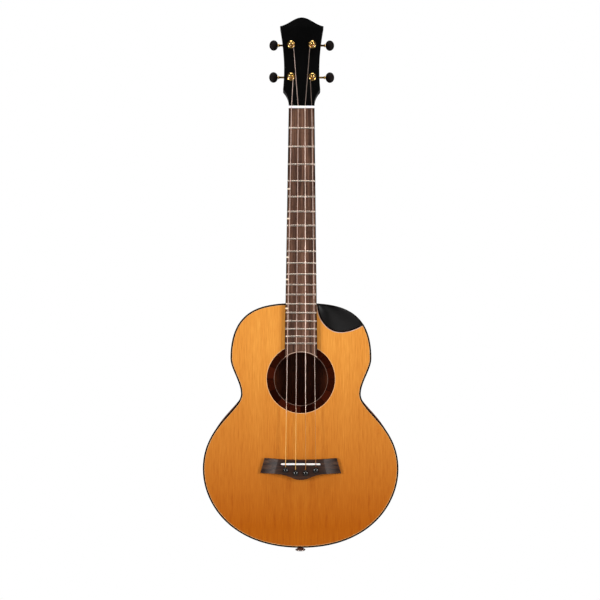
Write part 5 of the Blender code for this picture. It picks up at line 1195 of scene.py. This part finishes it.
def makePost(number, post, holeAngle, stringRadius):
    top = neck["headplate"] + machine["postHeight"]
    radius, waist = machine["postRadius"], machine["waist"]
    bushingTop = neck["headplate"] + seam + 1.9 * mm
    dome = [(radius * math.sin(a), top - 1.3 * mm + 1.3 * mm * math.cos(a))
            for a in (math.pi / 2 * i / 10 for i in range(11))]
    profile = dome + [(radius, top - 1.6 * mm), (waist + 0.1 * mm, top - 2.1 * mm), (waist, top - 2.3 * mm),
                      (waist, bushingTop + 0.7 * mm), (radius, bushingTop + 0.2 * mm),
                      (radius, wheelBack - 0.7 * mm), (0, wheelBack - 0.7 * mm)]
    shaft = turned(profile, 48)
    across = Vector((math.cos(holeAngle), math.sin(holeAngle), 0)) * 2 * radius
    middle = Vector((0, 0, neck["headplate"] + machine["holeHeight"]))
    shaft = carve(shaft, rod(stringRadius + 0.35 * mm, middle - across, middle + across))
    lean = machine["pitch"] / (2 * math.pi * machine["wormRadius"] * wheelRadius)
    wheel = closeUp(skin([[(x, y, level) for x, y in wheelLoop(lean * (level - wormLevel))]
                          for level in (wheelBack, wheelFront)], closed=True))
    soften(wheel, 0.12 * mm, 2, 50)
    screw = slottedScrew(2.1 * mm, 1.2 * mm)
    below = Matrix.Translation((0, 0, wheelBack - 0.7 * mm)) @ Matrix.Rotation(math.pi, 4, "X")
    finish(f"string_post_{number}_fine", gather((shaft, Matrix()), (wheel, Matrix()), (screw, below)), gold, post,
           f"post_{number}", [f"string_post_{number}"], sharp=30)


def makeWorm(number, shaftPlace):
    root = machine["wormRadius"] - machine["dedendum"]
    thin = machine["shaft"]
    outer = machine["reach"] - machine["spread"] / 2
    end = outer + machine["grip"]
    inner = -cheekInner - machine["cheek"]
    collar = outer - machine["button"][2] / 2 - 0.5 * mm
    profile = [(0, end), (thin, end), (thin, collar), (1.75 * thin, collar), (1.75 * thin, collar - 0.6 * mm),
               (1.25 * thin, collar - 1.4 * mm), (thin, collar - 2.2 * mm), (thin, wormHalf), (root, wormHalf),
               (root, -wormHalf), (thin, -wormHalf), (thin, inner), (0, inner)]
    core = turned(profile, 40, 0.1 * mm)
    lean = math.tan(math.radians(machine["flank"]))
    half = machine["threadShare"] * machine["pitch"] / 2
    sunk = machine["dedendum"] + 0.25 * mm
    turns, steps, pitch = machine["threadTurns"], 40, machine["pitch"]
    start = -(turns / 2 + 0.25) * pitch + (pitch / 2 if turns % 2 else 0)
    corners = [(machine["wormRadius"] - sunk, start + half + sunk * lean),
               (machine["wormRadius"] + machine["addendum"], start + half - machine["addendum"] * lean),
               (machine["wormRadius"] + machine["addendum"], start - half + machine["addendum"] * lean),
               (machine["wormRadius"] - sunk, start - half - sunk * lean)]
    thread = bmesh.new()
    verts = [thread.verts.new((radius, 0, level)) for radius, level in corners]
    edges = [thread.edges.new((verts[i], verts[(i + 1) % 4])) for i in range(4)]
    bmesh.ops.spin(thread, geom=verts + edges, axis=(0, 0, 1), cent=(0, 0, 0), angle=2 * math.pi * turns,
                   dvec=(0, 0, pitch / steps), steps=steps * turns, use_merge=False)
    finish(f"worm_shaft_{number}_fine", gather((core, Matrix()), (closeUp(thread), Matrix())), gold, shaftPlace,
           f"button_{number}", [f"worm_shaft_{number}"], sharp=35)


def makeButton(number, shaftPlace):
    thickness, height, width = machine["button"]
    bm = bmesh.new()
    bmesh.ops.create_uvsphere(bm, u_segments=64, v_segments=32, radius=1)
    for vert in bm.verts:
        x, y, z = vert.co
        swell = 1 - 0.12 * z * z
        vert.co = (math.copysign(abs(z) ** 0.9, z) * thickness / 2, y * height / 2 * swell, x * width / 2 * swell)
    bmesh.ops.recalc_face_normals(bm, faces=bm.faces)
    outer = machine["reach"] - machine["spread"] / 2
    finish(f"tuner_button_{number}_fine", bm, ebony, shaftPlace @ Matrix.Translation((0, 0, outer)),
           f"button_{number}", [f"tuner_button_{number}"], sharp=60)


def roundedBar(half, low, high, corner, steps=6):
    loop = []
    for x, y, start in ((half, high, 0), (-half, high, 90), (-half, low, 180), (half, low, 270)):
        cx = x - math.copysign(corner, x)
        cy = y - corner if y == high else y + corner
        for i in range(steps + 1):
            angle = math.radians(start + 90 * i / steps)
            loop.append((cx + corner * math.cos(angle), cy + corner * math.sin(angle)))
    return loop


def makePlate(number, post):
    low, high = -machine["plateTail"], wormOffset + machine["plateTail"]
    outline = roundedBar(machine["plateWidth"] / 2, low, high, 2.5 * mm)
    base = plate([outline, circle(0, 0, machine["postRadius"] + 0.2 * mm, 40)], plateBack, plateFront, 0.25 * mm, 2)
    parts = [(base, Matrix())]
    reach = machine["shaft"] + seam + 1.3 * mm
    for side in (-1, 1):
        near = side * (cheekInner + machine["cheek"] / 2)
        dome = [(wormOffset + reach * math.cos(a), wormLevel - reach * math.sin(a))
                for a in (math.pi * i / 12 for i in range(13))]
        outlineUp = [(wormOffset - reach, plateBack + 0.3 * mm)] + list(reversed(dome)) + [(wormOffset + reach, plateBack + 0.3 * mm)]
        bore = circle(wormOffset, wormLevel, machine["shaft"] + 0.12 * mm, 24)
        cheek = plate([outlineUp, bore], -machine["cheek"] / 2, machine["cheek"] / 2, 0.18 * mm, 2)
        parts.append((cheek, Matrix.Translation((near, 0, 0)) @ upright))
    for y in (low + 2.6 * mm, high - 2.6 * mm):
        place = Matrix.Translation((0, y, plateBack)) @ Matrix.Rotation(math.pi, 4, "X") @ Matrix.Rotation(0.6 + 9 * y / mm, 4, "Z")
        parts.append((slottedScrew(1.7 * mm, 0.9 * mm), place))
    finish(f"tuner_plate_{number}_fine", gather(*parts), gold, post, replaces=[f"tuner_plate_{number}"], sharp=30)


def postPlaces():
    rows = [share * neck["headLength"] for share in machine["rows"]]
    return [(side * machine["spread"] / 2, up) for side, up in ((-1, rows[0]), (-1, rows[1]), (1, rows[1]), (1, rows[0]))]


def arrival(index):
    # angle and place on its post at which a string arrives, from the nut's front edge
    x, up = postPlaces()[index]
    nut = headFromFace.inverted() @ Vector(nutPoint(index))
    radius = machine["waist"] + seam + strings[index][1] / 2
    away = Vector((nut.x - x, nut.y - up))
    angle = math.atan2(away.y, away.x) + turnWay(index) * math.acos(radius / away.length)
    return angle, radius


def turnWay(index):
    # bass strings wind one way round their posts, treble strings the other
    return 1 if postPlaces()[index][0] < 0 else -1


def holeAngle(index):
    return arrival(index)[0] + turnWay(index) * 2 * math.pi * (course["rootTurn"] + course["postTurn"])


def makeMachines():
    for index, (x, up) in enumerate(postPlaces()):
        number = index + 1
        post = head @ Matrix.Translation((x, up, 0))
        shaftPlace = (post @ Matrix.Translation((0, wormOffset, wormLevel))
                      @ Matrix.Rotation(math.copysign(math.pi / 2, x), 4, "Y"))
        makeBushing(number, post)
        makePost(number, post, holeAngle(index), strings[index][1] / 2)
        makeWorm(number, shaftPlace)
        makeButton(number, shaftPlace)
        makePlate(number, post)


def makeStrings():
    rise = course["rise"] / -fretY(12)
    top, under = bridge["height"], -2 * trim["top"] - 3.6 * mm
    for index, (name, diameter) in enumerate(strings):
        material = (wound, wound, nylon, thinNylon)[index]
        x, pinY = pinPlace(index)
        drop = pinY + bridge["pinHead"] + seam + diameter / 2
        saddleY, lean = bridge["saddleY"], bridge["saddleThickness"] / 2
        crown = course["levelAtNut"] + diameter / 2 - rise * saddleY - 0.06 * mm
        nutX, nutY, nutZ = nutPoint(index)
        route = [(x, drop, under), (x, drop, top), (x, drop + 0.3 * mm, top + seam + diameter / 2),
                 (x, saddleY - lean - 0.2 * mm, crown - 0.75 * lean), (x, saddleY - 0.5 * lean, crown - 0.1 * lean),
                 (x, saddleY, crown), (nutX + (x - nutX) * 2 * mm / -saddleY, -2 * mm, nutZ + rise * 2 * mm),
                 (nutX, nutY, nutZ)]
        # round the post: first the string's own part of a turn, then the turns that the post carries
        postX, up = postPlaces()[index]
        angle, radius = arrival(index)
        pitch = diameter + course["turnGap"]
        high = neck["headplate"] + machine["holeHeight"]
        low = high - 2 * pitch
        way = 2 * math.pi * turnWay(index)
        count = round(72 * course["rootTurn"])
        for i in range(count + 1):
            a = angle + way * course["rootTurn"] * i / count
            level = low + pitch * (i / count) ** 2
            route.append(headFromFace @ Vector((postX + radius * math.cos(a), up + radius * math.sin(a), level)))
        ball = rod(course["ball"], (x - 1.4 * mm, drop, under), (x + 1.4 * mm, drop, under), 32)
        soften(ball, 0.3 * mm, 2, 60)
        finish(f"string_{name}_fine", gather((wire(route, diameter / 2, 1.2 * mm), Matrix()), (ball, Matrix())),
               material, replaces=[f"string_{name}"], sharp=60)
        begin, end = angle + way * course["rootTurn"], holeAngle(index)
        bend = math.copysign(math.radians(20), way)
        count = 50
        turns = []
        for i in range(count + 1):
            a = begin + (end - bend - begin) * i / count
            turns.append(Vector((radius * math.cos(a), radius * math.sin(a), high - pitch + pitch * i / count)))
        outward = Vector((math.cos(end), math.sin(end), 0))
        lift = Vector((0, 0, high))
        corner = outward * radius / math.cos(bend) + lift
        inward = outward * (machine["waist"] - 0.4 * mm) + lift
        last = turns[-1]
        turns += [last * (1 - t) ** 2 + corner * 2 * t * (1 - t) + inward * t * t for t in (0.2, 0.4, 0.6, 0.8, 1)]
        turns += [lift, lift - outward * (machine["waist"] + course["tail"])]
        post = head @ Matrix.Translation((postX, up, 0))
        finish(f"string_winding_{index + 1}_fine", wire(turns, diameter / 2, 0.3 * mm), postWindings, post,
               f"post_{index + 1}", [f"string_winding_{index + 1}"], sharp=60)


makeMachines()
makeStrings()
print("machines and strings made")

# Inner pieces keep their solids

inside = {
    "mahogany": (mahogany, ["neck_block", "tail_block", "top_lining", "back_lining"]),
    "spruce": (spruce, ["upper_brace", "lower_brace", "fan_brace_bass", "fan_brace_centre", "fan_brace_treble",
                        "back_brace_upper", "back_brace_middle", "back_brace_lower"]),
    "rosewood": (bridgeRosewood, ["bridge_plate"]),
}
for material, nodes in inside.values():
    for node in nodes:
        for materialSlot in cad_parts[node].material_slots:
            materialSlot.material = material

# Stage, light and camera

stage = {
    "floorLevel": -1.0, "floorReach": 1.5, "fill": 0.28, "shine": (0.015, 0.15), "backdropCone": (0.97, 0.996),
    "lamps": (("boxLeft", -43, 5.0, 2.3, (0.5, 0.84), 28.5), ("boxRight", 43, 5.0, 2.3, (0.5, 0.84), 26.0),
              ("boxAbove", 0, 80, 2.0, (1.2, 0.8), 16.0), ("boxBehind", 150, 35, 2.6, (1.2, 1.2), 22.0)),
    "aim": (0, 0, -0.27),
    "eye": (-0.0015, -2.0085, -0.2622), "lens": 87.9, "roll": 0.155,
}


def makeFloor():
    bm = bmesh.new()
    bmesh.ops.create_grid(bm, x_segments=1, y_segments=1, size=stage["floorReach"],
                          matrix=Matrix.Translation((0, 0, stage["floorLevel"])))
    mesh = bpy.data.meshes.new("floor")
    bm.to_mesh(mesh)
    bm.free()
    floor = bpy.data.objects.new("floor", mesh)
    bpy.context.scene.collection.objects.link(floor)
    # matt white paper: its own light lifts it to white for the camera, and the shadow still shows
    material, tree, shader = newMaterial("whitePaper", "bone", {
        "Roughness": 0.9, "Base Color": hexColour("#8c8c8c"), "Emission Color": (1, 1, 1, 1)})
    path = addNode(tree, "ShaderNodeLightPath")
    lift = addNode(tree, "ShaderNodeMath", {"operation": "MULTIPLY", 1: 0.8}, {0: path.outputs["Is Camera Ray"]})
    tree.links.new(lift.outputs[0], shader.inputs["Emission Strength"])
    mesh.materials.append(material)


def makeWorld():
    # white to the camera; reflections find it white behind the instrument, and a dim studio elsewhere
    world = bpy.data.worlds.new("studio")
    bpy.context.scene.world = world
    world.use_nodes = True
    tree = world.node_tree
    background = tree.nodes["Background"]
    path = addNode(tree, "ShaderNodeLightPath")
    direction = addNode(tree, "ShaderNodeTexCoord")
    parts = addNode(tree, "ShaderNodeSeparateXYZ", links={"Vector": direction.outputs["Generated"]})
    dim = addNode(tree, "ShaderNodeMapRange", {
        "From Min": -0.1, "From Max": 0.6, "To Min": stage["shine"][0], "To Max": stage["shine"][1]},
        {"Value": parts.outputs["Y"]})
    cone = addNode(tree, "ShaderNodeMapRange", {
        "From Min": stage["backdropCone"][0], "From Max": stage["backdropCone"][1]}, {"Value": parts.outputs["Y"]})
    behind = addNode(tree, "ShaderNodeMath", {"operation": "MAXIMUM"}, {0: dim.outputs[0], 1: cone.outputs[0]})
    mirrored = addNode(tree, "ShaderNodeMath", {"operation": "MAXIMUM"},
                       {0: path.outputs["Is Glossy Ray"], 1: path.outputs["Is Transmission Ray"]})
    soft = addNode(tree, "ShaderNodeMix", {"data_type": "FLOAT", 2: stage["fill"]},
                   {0: mirrored.outputs[0], 3: behind.outputs[0]})
    strength = addNode(tree, "ShaderNodeMix", {"data_type": "FLOAT", 3: 1.0},
                       {0: path.outputs["Is Camera Ray"], 2: soft.outputs[0]})
    tree.links.new(strength.outputs[0], background.inputs["Strength"])
    background.inputs["Color"].default_value = (1, 1, 1, 1)


def makeLamps():
    aim = Vector(stage["aim"])
    for name, azimuth, elevation, distance, size, power in stage["lamps"]:
        lamp = bpy.data.lights.new(name, "AREA")
        lamp.shape = "RECTANGLE"
        lamp.size, lamp.size_y = size
        lamp.energy = power
        a, e = math.radians(azimuth), math.radians(elevation)
        offset = Vector((math.sin(a) * math.cos(e), -math.cos(a) * math.cos(e), math.sin(e))) * distance
        obj = bpy.data.objects.new(name, lamp)
        obj.location = aim + offset
        obj.rotation_euler = offset.to_track_quat("Z", "Y").to_euler()
        bpy.context.scene.collection.objects.link(obj)


def makeCamera():
    camera = bpy.data.cameras.new("camera")
    camera.lens = stage["lens"]
    camera.sensor_width = 36.0
    eye = bpy.data.objects.new("camera", camera)
    eye.location = stage["eye"]
    eye.rotation_euler = (math.pi / 2, 0, 0)
    eye.rotation_euler.rotate_axis("Z", math.radians(stage["roll"]))
    bpy.context.scene.collection.objects.link(eye)
    bpy.context.scene.camera = eye


makeFloor()
makeWorld()
makeLamps()
makeCamera()
bpy.context.scene.view_settings.view_transform = "Standard"
print("stage set")
